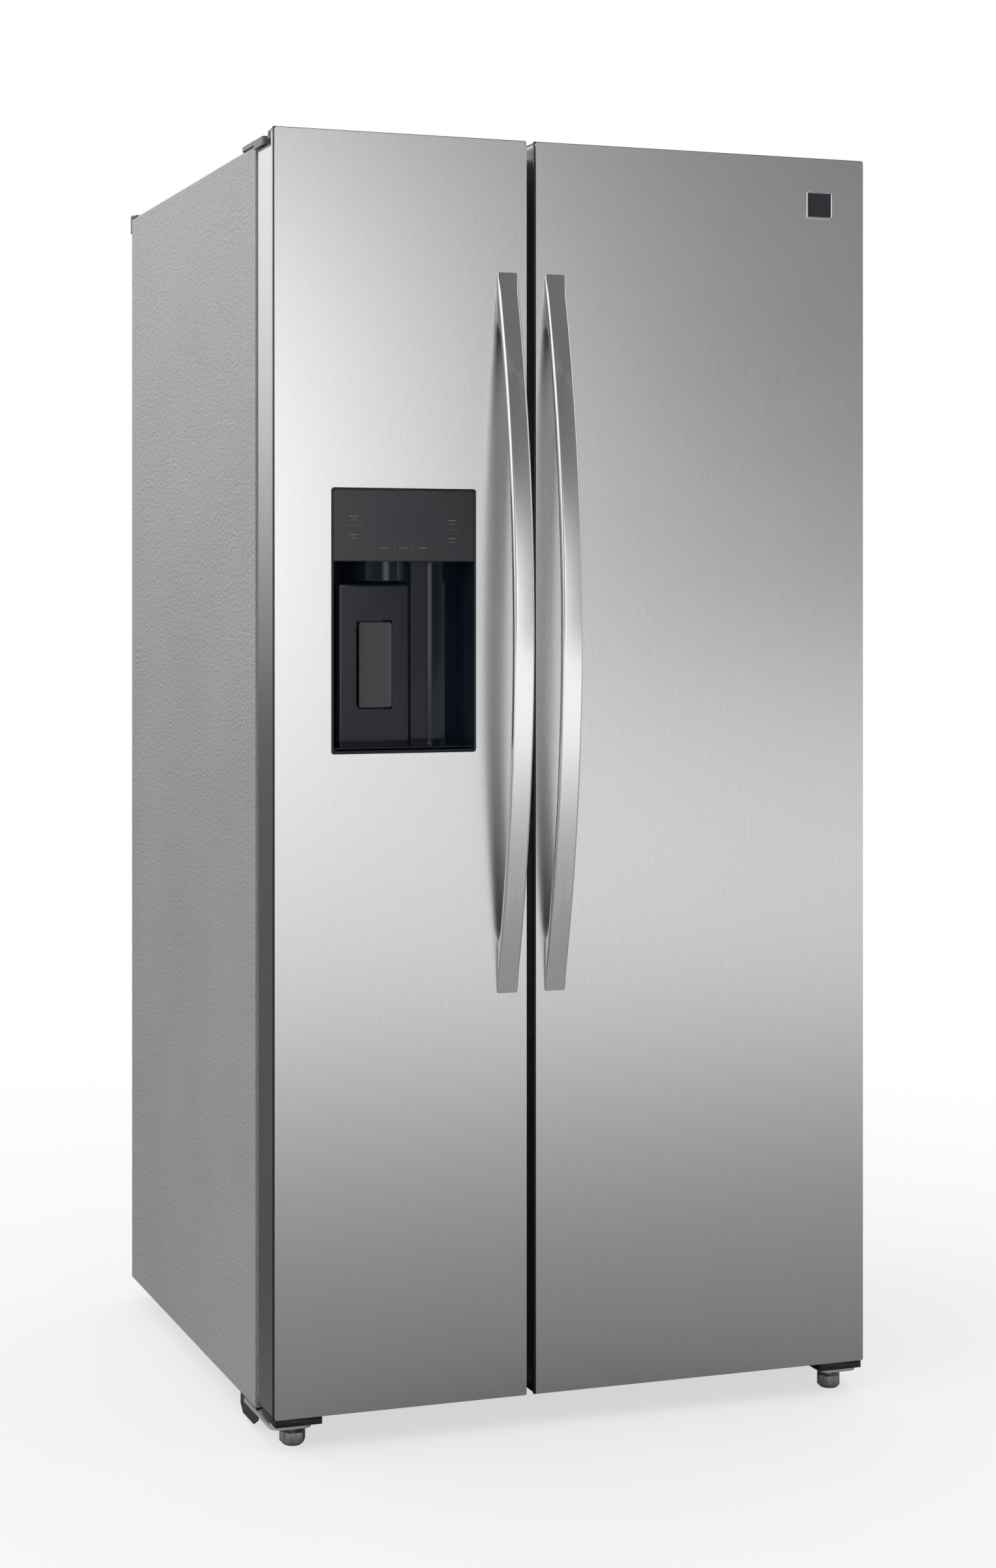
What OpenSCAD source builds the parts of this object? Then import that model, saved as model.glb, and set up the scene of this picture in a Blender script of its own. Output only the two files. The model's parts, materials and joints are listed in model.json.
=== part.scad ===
// Side by side refrigerator with an ice and water dispenser in the freezer door.
// Millimetres. +Z is up and the doors face -Y. The origin is on the floor, under the
// middle of the whole object's outline.

/* [Overall] */
// Width across both doors
body_w = 895; // [800:5:1000]
// Height from the floor to the top of the doors
body_h = 1788; // [1480:4:1900]
// Depth of the cabinet without its doors
cabinet_d = 719; // [600:5:760]
// Height of the cabinet's lower edge above the floor
cabinet_lift = 34; // [30:1:60]
// Step from the top of the doors down to the top of the cabinet
top_step = 10; // [6:1:14]
// How far the cabinet's sides stand inside the doors' sides
cabinet_inset = 2; // [0:0.5:5]
// Thickness of the folded steel sheet
sheet_t = 1.2; // [0.8:0.1:2]

/* [Doors] */
// Width of the freezer door
freezer_door_w = 367.5; // [330:2.5:420]
// Gap between the two doors
door_gap = 12; // [8:0.5:16]
// Thickness of a door without its gasket
door_d = 80; // [70:1:95]
// Space between the doors and the cabinet that the gasket fills
gasket_gap = 15; // [12:0.5:18]
// Height of the doors' lower edge above the floor
door_lift = 43; // [40:1:70]
// Depth of the steel front pan
pan_d = 4.7; // [3:0.1:8]
// Depth of the black frame's visible edge
seam_d = 4.5; // [3:0.1:8]
// How far the black frame stands outside the steel
seam_proud = 1; // [0.5:0.1:2]
// Corner radius of the front pan's upright edges
pan_r = 2; // [1:0.1:4]
// Height of the doors' top and bottom caps
cap_h = 3; // [2:0.5:6]

/* [Hinges] */
// Distance from a door's outer side in to its hinge axis
hinge_in_x = 14; // [13:0.5:16]
// Distance from a door's front face back to its hinge axis
hinge_in_y = 33.5; // [32:0.5:36]
// Radius of the hinge pins
pin_r = 5; // [3:0.5:6]
// Running clearance round a hinge pin
pin_gap = 0.05; // [0.02:0.01:0.1]
// Thickness of the bottom hinge plates
plate_t = 4.5; // [3:0.5:6]
// Thickness of the top hinge plates
top_plate_t = 3; // [2:0.5:4]
// Length of the notch at a door's top corner along the door
notch_len = 60; // [50:1:80]
// Depth of the notch at a door's top corner below the door's top
notch_h = 21; // [18:1:26]
// Distance from a door's front face to the notch
notch_y = 20; // [16:1:24]
// Height of the cam block under each door's hinge corner
cam_h = 9.5; // [8:0.5:12]
// Length of the cam block along the door
cam_len = 66; // [50:1:90]

/* [Handles] */
// Width of a handle
handle_w = 30.5; // [24:0.5:40]
// Length of a handle
handle_len = 998; // [700:2:1100]
// How far a handle stands out from the door at its middle
handle_reach = 66; // [50:1:80]
// Distance from the top of the doors down to the handles
handle_top = 185; // [100:5:260]
// Distance from a door's inner edge to its handle
handle_edge = 15; // [10:1:30]
// Thickness of a handle's bar
handle_t = 12; // [9:0.5:16]
// Length of each handle end that lies flat on the door
handle_foot = 78; // [50:1:100]
// Thickness of a handle's tips
handle_tip = 2; // [1.5:0.5:4]

/* [Dispenser] */
// Width of the dispenser
disp_w = 210; // [180:2:230]
// Height of the dispenser
disp_h = 362; // [300:2:400]
// Distance from the top of the doors down to the dispenser
disp_top = 486; // [440:2:560]
// Distance from the freezer door's outer side to the dispenser
disp_edge = 81; // [70:1:100]
// Height of the glass control panel
panel_h = 100; // [80:1:120]
// Depth of the recess
recess_d = 95; // [85:1:110]
// Wall of the dispenser housing
housing_t = 3; // [2:0.5:4]
// Corner radius of the recess
recess_r = 34; // [20:1:45]
// Width of the paddle
paddle_w = 49; // [40:1:60]
// Height of the paddle
paddle_h = 120; // [90:1:140]
// Gap round the paddle
paddle_gap = 5; // [3:0.5:8]

/* [Compartments] */
// Wall between the cabinet's left side and the freezer's inside
freezer_wall = 60; // [50:1:75]
// Wall between the cabinet's right side and the fridge's inside
fridge_wall = 48; // [40:1:60]
// Width of the wall between the two compartments
mullion_w = 64; // [50:1:80]
// Insulated roof above the compartments
roof_wall = 62; // [50:1:80]
// Insulated floor below the compartments
floor_wall = 56; // [50:1:80]
// Insulated wall behind the compartments
back_wall = 66; // [55:1:80]
// Thickness of the liners
liner_t = 2; // [1.5:0.1:3]
// Height of the machine space at the rear
machine_h = 230; // [210:5:260]
// Depth of the machine space at the rear
machine_d = 235; // [220:5:260]
// Width of the gasket
gasket_w = 17; // [14:0.5:20]
// Distance from a door's edge to its gasket
gasket_in = 23; // [20:1:28]

/* [Shelves and bins] */
// Thickness of the shelf glass
glass_t = 4; // [3:0.5:6]
// Height of a shelf frame
shelf_frame_h = 14; // [10:1:20]
// Width of a shelf frame's rim
shelf_rim = 14; // [10:1:20]
// Clearance between the door bins and the front of shelves and drawers
bin_gap = 32; // [30:1:45]
// Depth of the door bins
bin_d = 92; // [70:1:100]
// Wall of bins, drawers and baskets
tub_t = 2.5; // [2:0.1:4]
// Height of a crisper drawer
crisper_h = 150; // [120:5:170]
// Gap between a drawer and what is round it
drawer_gap = 4; // [3:0.5:6]
// Clearance between the drawers and the gasket of the open door
drawer_clear = 4; // [3:0.5:12]
// Gap between a door's dyke and the near side of its bins
bin_clear = 5; // [1:1:20]
// Height of the door bins
bin_h = 100; // [70:5:120]
// Number of fridge shelves
fridge_shelf_n = 4; // [3:1:5]
// Number of freezer shelves
freezer_shelf_n = 5; // [3:1:6]

/* [Feet and spacers] */
// Size of a hexagonal foot across its corners
foot_w = 37; // [30:1:44]
// Height of a foot's head
foot_h = 18; // [14:1:24]
// Radius of a foot's stem
stem_r = 5; // [4:0.5:6]
// Radius of the rear rollers
roller_r = 16; // [14:1:20]
// How far the rear spacers stand behind the back
spacer_d = 12; // [8:1:20]

/* [Hidden] */
$fn = 48;
eps = 0.5;

// ---- places along Y, from the front to the back ----
whole_d = handle_reach + door_d + gasket_gap + cabinet_d + spacer_d;
face_y = handle_reach - whole_d / 2;             // front face of the doors
door_back = face_y + door_d;                      // rear of the doors
cab_y0 = door_back + gasket_gap;                  // front plane of the cabinet
cab_y1 = cab_y0 + cabinet_d;                      // rear plane of the cabinet
seam_y = face_y + pan_d;                          // front of the black frame
wall_y = seam_y + seam_d;                         // front of the doors' side walls

// ---- places along X ----
side_x = body_w / 2;
cab_x = side_x - cabinet_inset;
freezer_x1 = -side_x + freezer_door_w;            // inner edge of the freezer door
fridge_x0 = freezer_x1 + door_gap;                // inner edge of the fridge door
mullion_x = (freezer_x1 + fridge_x0) / 2;
fz_x0 = -cab_x + freezer_wall;                    // freezer's inside, left and right
fz_x1 = mullion_x - mullion_w / 2;
fr_x0 = mullion_x + mullion_w / 2;                // fridge's inside, left and right
fr_x1 = cab_x - fridge_wall;

// ---- places along Z ----
cab_z0 = cabinet_lift;
cab_z1 = body_h - top_step;
in_z0 = cab_z0 + floor_wall;                      // floor and roof of both compartments
in_z1 = cab_z1 - roof_wall;
in_y1 = cab_y1 - back_wall;                       // back of both compartments
machine_y = cab_y1 - machine_d;                   // front wall of the machine space
machine_z = cab_z0 + machine_h;                   // roof of the machine space
step_y = machine_y - floor_wall + 8;              // compartment floor steps up here
step_z = machine_z + floor_wall - 8;
flange_w = 24;                                    // cabinet's front flange

// ---- hinges ----
hinge_x = side_x - hinge_in_x;
hinge_y = face_y + hinge_in_y;
cam_z = door_lift - cam_h;                        // underside of the cam blocks
low_plate_z = cam_z - 3 - plate_t;                // underside of the bottom hinge plates
notch_z = body_h - notch_h;                       // floor of the notches
foot_x = side_x - 37;
foot_y = face_y + 37;

// ---- dispenser ----
dp_x0 = -side_x + disp_edge;
dp_x1 = dp_x0 + disp_w;
dp_mid = dp_x0 + disp_w * 0.425;                  // middle of the pillar and the paddle
dp_z1 = body_h - disp_top;
disp_z = dp_z1 - disp_h;
panel_z = dp_z1 - panel_h;
recess_y = face_y + recess_d;
pillar_w = 112;
pillar_y = recess_y - 15;                         // front of the pillar
chute_drop = 27;                                  // how far the chute hangs below the panel
pocket_d = 22;                                    // depth of the paddle's pocket in the pillar
paddle_t = 4;
paddle_z1 = panel_z - 83;                         // top edge of the paddle
paddle_z0 = paddle_z1 - paddle_h;
paddle_y = pillar_y - 1 - paddle_t;
tray_h = 5;
bulge_y = recess_y + housing_t + 24;              // back of the door where it holds the dispenser

// ---- inside of the doors ----
bin_y0 = door_back + 3;                           // bins hang just behind the door liners
bin_y1 = bin_y0 + bin_d;
shelf_y0 = bin_y1 + bin_gap;                      // front of shelves and drawers
gap = 0.5;                                        // standing gap between parts of one body
frame_w = 12;                                     // width of the black frame behind the pan
liner_top = notch_z - cap_h - 2;                  // top of the door liners
dyke_in = 12;                                     // from a compartment's wall to the door's dyke
dyke_w = 10;
lip = 0.5;                                        // the dispenser stands this far out of the steel

// How far along a door its bins may reach, so that they clear a far wall this far from the hinge
function bin_reach(wall) =
    min(wall - dyke_in - dyke_w - 1,
        sqrt(pow(wall - drawer_gap, 2) - pow(bin_y1 - hinge_y, 2) + pow(cab_y0 - hinge_y, 2)));

// How far from the hinge a door's bins start, past the dyke at a near wall this far away
function bin_start(wall) = wall + dyke_in + dyke_w + bin_clear;

// ---- drawers and shelves ----
drawer_y1 = step_y - 8;                           // back of the drawers
crisper_x0 = fr_x0 + drawer_gap;
drawer_in = cab_y0 - hinge_y + drawer_clear;      // from a hinge axis to the drawers' near side
crisper_x1 = hinge_x - drawer_in;
basket_x0 = -hinge_x + drawer_in;
basket_x1 = fz_x1 - drawer_gap;
function drawer_z(i) = in_z0 + 3 + i * (crisper_h + 18);
low_shelf_z = drawer_z(2) - 8;                    // lowest shelf, over the upper drawers
bucket_z = dp_z1 + 34;                            // underside of the ice bucket
bucket_h = 150;
spout_y = door_back + 6;                          // front of the ice bucket's spout
auger_z = bucket_z + tub_t + 30;
evap_d = 72;                                      // from the freezer's back to the coil cover
evap_z1 = bucket_z - 80;
evap_fan_x = (fz_x0 + fz_x1) / 2;
evap_fan_z = evap_z1 - 70;
function fridge_shelf_z(i) = low_shelf_z + i * (in_z1 - 40 - low_shelf_z) / fridge_shelf_n;
function freezer_shelf_z(i) =
    low_shelf_z + i * (bucket_z - shelf_frame_h - 1 - low_shelf_z) / (freezer_shelf_n - 1);

// ---- hinges, feet and machine space ----
top_plate_z = cab_z1;                             // underside of the top hinge plates
hinge_screw_y = [cab_y0 + 22, cab_y0 + 46];
foot_floor = 3;                                   // thickness of a foot's floor
spacer_h = 30;
axle_r = 4;
roller_y = cab_y1 - 60;
mount_h = 12;
comp_r = 74;
comp_x = 170;
comp_y = cab_y1 - 118;
fan_x = -20;
fan_z = cab_z0 + 112;
fan_r = 82;
valve_x = -cab_x + 90;
valve_z = cab_z0 + 190;
inlet_r = 13.2;
inlet_x = cab_x - 60;
inlet_z = cab_z0 + 60;
gland_r = 11;
cover_screw_x = [-cab_x + 50, -100, 100, cab_x - 100];

// ---- dispenser details ----
chute_r = 46;
chute_y = face_y + 64;
chute_top = dp_z1 + 18;
paddle_pin_y = pillar_y + 5;
paddle_pin_z = paddle_z1 - 5;

// ---- small shared shapes ----

// A box from its two corners
module box(a, b) {
    translate([min(a[0], b[0]), min(a[1], b[1]), min(a[2], b[2])])
        cube([abs(b[0] - a[0]), abs(b[1] - a[1]), abs(b[2] - a[2])]);
}

// A flat outline with round corners, from its two corners
module round_rect(a, b, r) {
    translate([a[0] + r, a[1]]) square([b[0] - a[0] - 2 * r, b[1] - a[1]]);
    translate([a[0], a[1] + r]) square([b[0] - a[0], b[1] - a[1] - 2 * r]);
    for (x = [a[0] + r, b[0] - r])
        for (y = [a[1] + r, b[1] - r])
            translate([x, y]) circle(r);
}

// An upright plate facing the front: its outline is drawn in X and Z
module facing(y0, y1) {
    translate([0, y1, 0]) rotate([90, 0, 0]) linear_extrude(y1 - y0) children();
}

// A plate lying flat: its outline is drawn in X and Y
module lying(z0, z1) {
    translate([0, 0, z0]) linear_extrude(z1 - z0) children();
}

// A shape drawn in Y and Z and carried along X
module along_x(x0, x1) {
    translate([x0, 0, 0]) rotate([90, 0, 90]) linear_extrude(x1 - x0) children();
}

module both_sides() {
    children();
    mirror([1, 0, 0]) children();
}

// An open-topped tub: outer corners a and b, wall t
module tub(a, b, t) {
    difference() {
        box(a, b);
        box([a[0] + t, a[1] + t, a[2] + t], [b[0] - t, b[1] - t, b[2] + eps]);
    }
}

// A round bar between two heights
module post(x, y, z0, z1, r) {
    translate([x, y, z0]) cylinder(h = z1 - z0, r = r);
}

// ---- cabinet ----

module cabinet_shell() {
    color([0.66, 0.66, 0.67]) {
        difference() {
            box([-cab_x, cab_y0, cab_z0], [cab_x, cab_y1, cab_z1]);
            box([-cab_x + sheet_t, cab_y0 + sheet_t, cab_z0 - eps],
                [cab_x - sheet_t, cab_y1 - sheet_t, cab_z1 - sheet_t]);
            box([-cab_x + flange_w, cab_y0 - eps, cab_z0 + flange_w],
                [cab_x - flange_w, cab_y0 + sheet_t + eps, cab_z1 - flange_w]);
            box([-cab_x + flange_w, cab_y1 - sheet_t - eps, cab_z0 - eps],
                [cab_x - flange_w, cab_y1 + eps, cab_z1 - flange_w]);
        }
    }
}

module back_panel() {
    rib_n = 5;
    rib_pitch = (2 * cab_x - 2 * flange_w) / rib_n;
    color([0.72, 0.73, 0.74]) {
        box([-cab_x + sheet_t, cab_y1 - 2 * sheet_t, machine_z], [cab_x - sheet_t, cab_y1 - sheet_t,
            cab_z1 - sheet_t]);
        for (i = [0 : rib_n - 1])
            box([-cab_x + flange_w + (i + 0.2) * rib_pitch, cab_y1 - sheet_t, machine_z + 60],
                [-cab_x + flange_w + (i + 0.8) * rib_pitch, cab_y1 + 1, cab_z1 - 90]);
    }
}

// Outline of a compartment in Y and Z, grown outwards by t; it steps up over the machine space
module room_outline(t) {
    polygon([
        [cab_y0 - eps, in_z0 - t],
        [step_y + t, in_z0 - t],
        [step_y + t, step_z - t],
        [in_y1 + t, step_z - t],
        [in_y1 + t, in_z1 + t],
        [cab_y0 - eps, in_z1 + t]
    ]);
}

module room(x0, x1, t) {
    along_x(x0 - t, x1 + t) room_outline(t);
}

// A liner with a rim that laps the cabinet's front; vents are holes in its back wall
module liner(x0, x1, rim_x0, rim_x1) {
    difference() {
        union() {
            intersection() {
                room(x0, x1, liner_t);
                box([-side_x, cab_y0, 0], [side_x, cab_y1, body_h]);
            }
            box([rim_x0, cab_y0, cab_z0 + flange_w + gap], [rim_x1, cab_y0 + liner_t,
                cab_z1 - flange_w - gap]);
        }
        room(x0, x1, 0);
    }
}

module freezer_liner() {
    color([0.93, 0.94, 0.95])
        liner(fz_x0, fz_x1, -cab_x + flange_w + gap, fz_x1 + 6);
}

module fridge_liner() {
    color([0.93, 0.94, 0.95])
        liner(fr_x0, fr_x1, fr_x0 - 6, cab_x - flange_w - gap);
}

module mullion_strip() {
    color([0.75, 0.76, 0.77])
        box([fz_x1 + 6 + gap, cab_y0, cab_z0 + flange_w + gap],
            [fr_x0 - 6 - gap, cab_y0 + liner_t, cab_z1 - flange_w - gap]);
}

module cabinet_foam() {
    color([0.93, 0.88, 0.68])
        difference() {
            box([-cab_x + sheet_t, cab_y0 + 2 * liner_t, cab_z0 + 2 * sheet_t],
                [cab_x - sheet_t, cab_y1 - 2 * sheet_t, cab_z1 - sheet_t]);
            room(fz_x0, fz_x1, liner_t);
            room(fr_x0, fr_x1, liner_t);
            box([-side_x, machine_y - 2 * sheet_t, 0], [side_x, cab_y1 + eps, machine_z + 2 * sheet_t]);
        }
}

// The chassis: floor pan, tunnel over the machine space, crossbar, side flanges, roller carriers
module base_frame() {
    low = low_plate_z + plate_t;
    color([0.2, 0.2, 0.22]) {
        box([-cab_x + sheet_t, cab_y0 + sheet_t, cab_z0],
            [cab_x - sheet_t, cab_y1 - 2 * sheet_t, cab_z0 + sheet_t]);
        box([-cab_x + sheet_t, machine_y - sheet_t, cab_z0],
            [cab_x - sheet_t, machine_y, machine_z + sheet_t]);
        box([-cab_x + sheet_t, machine_y - sheet_t, machine_z],
            [cab_x - sheet_t, cab_y1 - 2 * sheet_t, machine_z + sheet_t]);
        box([-cab_x + sheet_t, cab_y0 + sheet_t, low], [cab_x - sheet_t, cab_y0 + 70, cab_z0]);
        both_sides() {
            along_x(cab_x - 3, cab_x - 1) polygon([
                [cab_y0 + sheet_t, cab_z0], [cab_y0 - 4, cab_z0 - 6], [cab_y0 - 6, cab_z0 - 16],
                [cab_y0 + 14, 7], [cab_y0 + 66, 7], [cab_y0 + 79, 18], [cab_y0 + 78, cab_z0]
            ]);
            box([cab_x - 33, cab_y0 + 69, cab_z0 - 10], [cab_x - 30, roller_y + 26, cab_z0]);
            for (x = [cab_x - 60, cab_x - 33])
                box([x, roller_y - 26, roller_r - 8], [x + 3, roller_y + 26, cab_z0]);
            translate([cab_x - 60, roller_y, roller_r]) rotate([0, 90, 0]) cylinder(h = 30, r = axle_r);
        }
    }
}

module roller() {
    color([0.15, 0.15, 0.16])
        translate([cab_x - 56, roller_y, roller_r]) rotate([0, 90, 0])
            difference() {
                union() {
                    cylinder(h = 22, r = roller_r - 1);
                    translate([0, 0, 3]) cylinder(h = 16, r = roller_r);
                }
                translate([0, 0, -eps]) cylinder(h = 23, r = axle_r + pin_gap);
            }
}

module roller_right() roller();
module roller_left() mirror([1, 0, 0]) roller();

// A hexagonal foot: a sleeve on the stem that hangs from the bottom hinge plate
module foot() {
    color([0.42, 0.42, 0.45])
        translate([foot_x, foot_y, 0])
            difference() {
                intersection() {
                    cylinder(h = foot_h, r = foot_w / 2, $fn = 6);
                    cylinder(h = foot_h, r1 = foot_w / 2 - 6, r2 = foot_w / 2 + 12);
                }
                translate([0, 0, foot_floor]) cylinder(h = foot_h, r = stem_r + pin_gap);
                for (a = [30 : 60 : 330])
                    rotate([0, 0, a]) translate([foot_w / 2 * cos(30) - 1.5, -1.25, 4])
                        cube([4, 2.5, foot_h]);
            }
}

module foot_right() foot();
module foot_left() mirror([1, 0, 0]) foot();

// The steel plate under each door corner, its hinge pin and the stem of its foot
module bottom_hinge() {
    difference() {
        lying(low_plate_z, low_plate_z + plate_t)
            round_rect([foot_x - 22, face_y + 14], [cab_x - 3, cab_y0 + 62], 9);
        box([foot_x - 30, hinge_y + 30, 0], [foot_x - 2, cab_y0 - 4, cab_z0]);
    }
    post(hinge_x, hinge_y, low_plate_z + plate_t, cam_z - 0.4, 9);
    post(hinge_x, hinge_y, low_plate_z + plate_t, door_lift + 16, pin_r);
    post(foot_x, foot_y, foot_floor + 1, low_plate_z, stem_r);
    post(foot_x, foot_y, low_plate_z - 3, low_plate_z, stem_r + 5);
}

module bottom_hinges() {
    color([0.72, 0.72, 0.74]) both_sides() bottom_hinge();
}

module top_hinge() {
    lying(top_plate_z, top_plate_z + top_plate_t) {
        translate([hinge_x, hinge_y]) circle(11);
        translate([hinge_x - 30, hinge_y]) square([33, cab_y0 + 60 - hinge_y]);
        translate([hinge_x - 18, hinge_y - 11]) square([18, 12]);
    }
    post(hinge_x, hinge_y, notch_z - 16, top_plate_z + eps, pin_r);
}

module top_hinges() {
    color([0.6, 0.6, 0.62]) both_sides() top_hinge();
}

// The plastic cover over each top hinge; its tower hides the pin
module hinge_cover() {
    top = top_plate_z + top_plate_t + 3.5;
    difference() {
        union() {
            lying(top_plate_z, top) round_rect([hinge_x - 46, cab_y0 + 1], [side_x - 1, cab_y0 + 68], 6);
            lying(top_plate_z - 6, top)
                round_rect([hinge_x - 36, hinge_y + 27], [side_x - 1, cab_y0 - 0.5], 3);
            box([hinge_x - 36, cab_y0 - 6, top_plate_z + top_plate_t + 0.2], [side_x - 6, cab_y0 + 8, top]);
            box([hinge_x - 34, hinge_y, top_plate_z - 3], [hinge_x + 4, hinge_y + 34, top]);
            post(hinge_x, hinge_y, top_plate_z - 3, body_h - 2, 12.6);
        }
        lying(top_plate_z - eps, top_plate_z + top_plate_t + 0.2) {
            translate([hinge_x, hinge_y]) circle(11.2);
            translate([hinge_x - 30.2, hinge_y - 11.2]) square([33.4, cab_y0 + 60.4 - hinge_y + 11.2]);
        }
        post(hinge_x, hinge_y, top_plate_z - 8, top_plate_z + 1, 8);
        box([hinge_x - 30.2, hinge_y, top_plate_z - 8], [hinge_x + 3.2, cab_y0 + 2, top_plate_z]);
        for (y = hinge_screw_y)
            post(hinge_x - 14, y, top_plate_z, top_plate_z + top_plate_t + 2.2, 6);
    }
}

module hinge_covers() {
    color([0.34, 0.32, 0.36]) both_sides() hinge_cover();
}

module rear_spacers() {
    color([0.2, 0.19, 0.21])
        both_sides() {
            box([cab_x - 34, cab_y1, cab_z1 - spacer_h + 6], [cab_x, cab_y1 + spacer_d, cab_z1 + 6]);
            box([cab_x - 34, cab_y1 - 26, cab_z1], [cab_x, cab_y1, cab_z1 + 3]);
        }
}

module screws() {
    color([0.78, 0.78, 0.8]) {
        both_sides()
            for (y = hinge_screw_y)
                post(hinge_x - 14, y, top_plate_z + top_plate_t, top_plate_z + top_plate_t + 1.8, 5);
        for (x = cover_screw_x)
            for (z = [cab_z0 + 16, machine_z - 12])
                translate([x, cab_y1 + 2, z]) rotate([90, 0, 0]) cylinder(h = 2, r = 5);
    }
}

// ---- machine space ----

module machine_cover() {
    slot_n = 9;
    x1 = cab_x - flange_w - 1;
    color([0.25, 0.25, 0.27])
        difference() {
            box([-x1, cab_y1 - sheet_t, cab_z0 + 2 * sheet_t + 2], [x1, cab_y1, machine_z - 1]);
            for (x0 = [-x1 + 110, -x1 + 230, x1 - 210, x1 - 330])
                for (i = [0 : slot_n - 1])
                    translate([x0, cab_y1 - 3, cab_z0 + 36 + i * 19]) cube([96, 6, 7]);
            translate([valve_x, cab_y1 + 5, valve_z]) rotate([90, 0, 0]) cylinder(h = 20, r = 30);
            translate([inlet_x, cab_y1 + 5, inlet_z]) rotate([90, 0, 0]) cylinder(h = 20, r = gland_r);
        }
}

module compressor() {
    x = comp_x;
    y = comp_y;
    z = cab_z0 + 2 * sheet_t + mount_h;
    color([0.1, 0.1, 0.11]) {
        translate([x, y, z]) cube_base();
        translate([x, y, z + 3])
            rotate_extrude($fn = 96) {
                translate([0, 8]) square([comp_r, 92]);
                square([comp_r - 14, 20]);
                translate([0, 100]) square([comp_r - 38, 38]);
                intersection() {
                    translate([comp_r - 38, 100]) circle(38);
                    translate([0, 90]) square([comp_r + 1, 60]);
                }
            }
        box([x + comp_r - 12, y - 26, z + 40], [x + comp_r + 22, y + 26, z + 92]);
        translate([x - comp_r - 18, y - 20, z + 84]) rotate([0, 90, 0]) cylinder(h = 30, r = 5);
        translate([x - comp_r - 18, y + 20, z + 60]) rotate([0, 90, 0]) cylinder(h = 30, r = 4);
    }
}

// The foot plate welded under the compressor
module cube_base() {
    difference() {
        translate([-92, -72, 0]) cube([184, 144, 3]);
        for (sx = [-1, 1])
            for (sy = [-1, 1])
                translate([sx * 80, sy * 60, -eps]) cylinder(h = 5, r = 7);
    }
}

module compressor_mounts() {
    color([0.12, 0.12, 0.12])
        for (sx = [-1, 1])
            for (sy = [-1, 1])
                translate([comp_x + sx * 80, comp_y + sy * 60, cab_z0 + sheet_t]) {
                    cylinder(h = mount_h + sheet_t, r = 11);
                    cylinder(h = mount_h + sheet_t + 8, r = 6.9);
                }
}

// A serpentine tube through a block of fins; the runs go along X
module finned_coil(x0, x1, y, z0, rows, pitch, fin_d, fin_n, tube_r) {
    bend = pitch / 2;
    for (i = [0 : rows - 1])
        translate([x0, y, z0 + i * pitch]) rotate([0, 90, 0]) cylinder(h = x1 - x0, r = tube_r);
    for (i = [0 : rows - 2])
        translate([i % 2 == 0 ? x1 : x0, y, z0 + (i + 0.5) * pitch])
            rotate([90, i % 2 == 0 ? 0 : 180, 0])
                rotate([0, 0, -90]) rotate_extrude(angle = 180) translate([bend, 0]) circle(tube_r);
    for (k = [0 : fin_n - 1])
        translate([x0 + 12 + k * (x1 - x0 - 24) / (fin_n - 1) - 0.4, y - fin_d / 2, z0 - bend])
            cube([0.8, fin_d, rows * pitch]);
}

module condenser_coil() {
    color([0.12, 0.12, 0.13])
        finned_coil(-cab_x + 50, fan_x - 50, comp_y, cab_z0 + 46, 6, 26, 90, 14, 3.5);
}

module drain_pan() {
    color([0.85, 0.85, 0.82])
        tub([-cab_x + 30, comp_y - 70, cab_z0 + sheet_t], [fan_x - 20, comp_y + 52, cab_z0 + 22], tub_t);
}

module condenser_shroud() {
    color([0.9, 0.9, 0.88]) {
        difference() {
            box([fan_x - 4, machine_y + 1, cab_z0 + sheet_t], [fan_x, cab_y1 - 4 * sheet_t, machine_z - 1]);
            translate([fan_x - 10, comp_y, fan_z]) rotate([0, 90, 0]) cylinder(h = 20, r = fan_r + 4);
        }
        translate([fan_x - 28, comp_y, fan_z]) rotate([0, 90, 0]) {
            cylinder(h = 20, r = 22);
            cylinder(h = 44, r = 3);
        }
        for (a = [0 : 120 : 240])
            translate([fan_x, comp_y, fan_z]) rotate([a, 0, 0]) translate([-12, -4, 18])
                cube([9, 8, fan_r - 8]);
    }
}

// A fan turning about +Z: a hub and five pitched blades
module fan(r, hub_r, h, bore) {
    difference() {
        union() {
            cylinder(h = h, r = hub_r);
            for (i = [0 : 4])
                rotate([0, 0, 72 * i]) translate([hub_r - 2, 0, h / 2]) rotate([28, 0, 0])
                    translate([0, -h * 0.8, -1]) cube([r - hub_r, h * 1.6, 2]);
        }
        translate([0, 0, -eps]) cylinder(h = h + 1, r = bore + pin_gap);
    }
}

module condenser_fan() {
    color([0.2, 0.2, 0.2])
        translate([fan_x - 2, comp_y, fan_z]) rotate([0, 90, 0]) fan(fan_r, 20, 14, 3);
}

// The water valve and its threaded inlet stub, which stands out at the back
module water_valve() {
    color([0.86, 0.86, 0.84]) {
        translate([valve_x, cab_y1 - 12, valve_z]) rotate([-90, 0, 0]) cylinder(h = 22, r = inlet_r);
        box([valve_x - 28, cab_y1 - 60, valve_z - 22], [valve_x + 28, cab_y1 - 12, valve_z + 22]);
        for (dx = [-15, 15])
            post(valve_x + dx, cab_y1 - 36, valve_z + 22, valve_z + 38, 12);
        box([valve_x - 30, cab_y1 - 64, cab_z0 + sheet_t], [valve_x + 30, cab_y1 - 60, valve_z + 22]);
    }
}

module power_inlet() {
    color([0.1, 0.1, 0.1])
        translate([inlet_x, cab_y1 + 6, inlet_z]) rotate([90, 0, 0])
            difference() {
                union() {
                    cylinder(h = 6, r = gland_r + 3);
                    cylinder(h = 22, r = gland_r - 0.2);
                }
                translate([0, 0, -eps]) cylinder(h = 12, r = 4);
            }
}

// ---- inside the compartments ----

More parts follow.
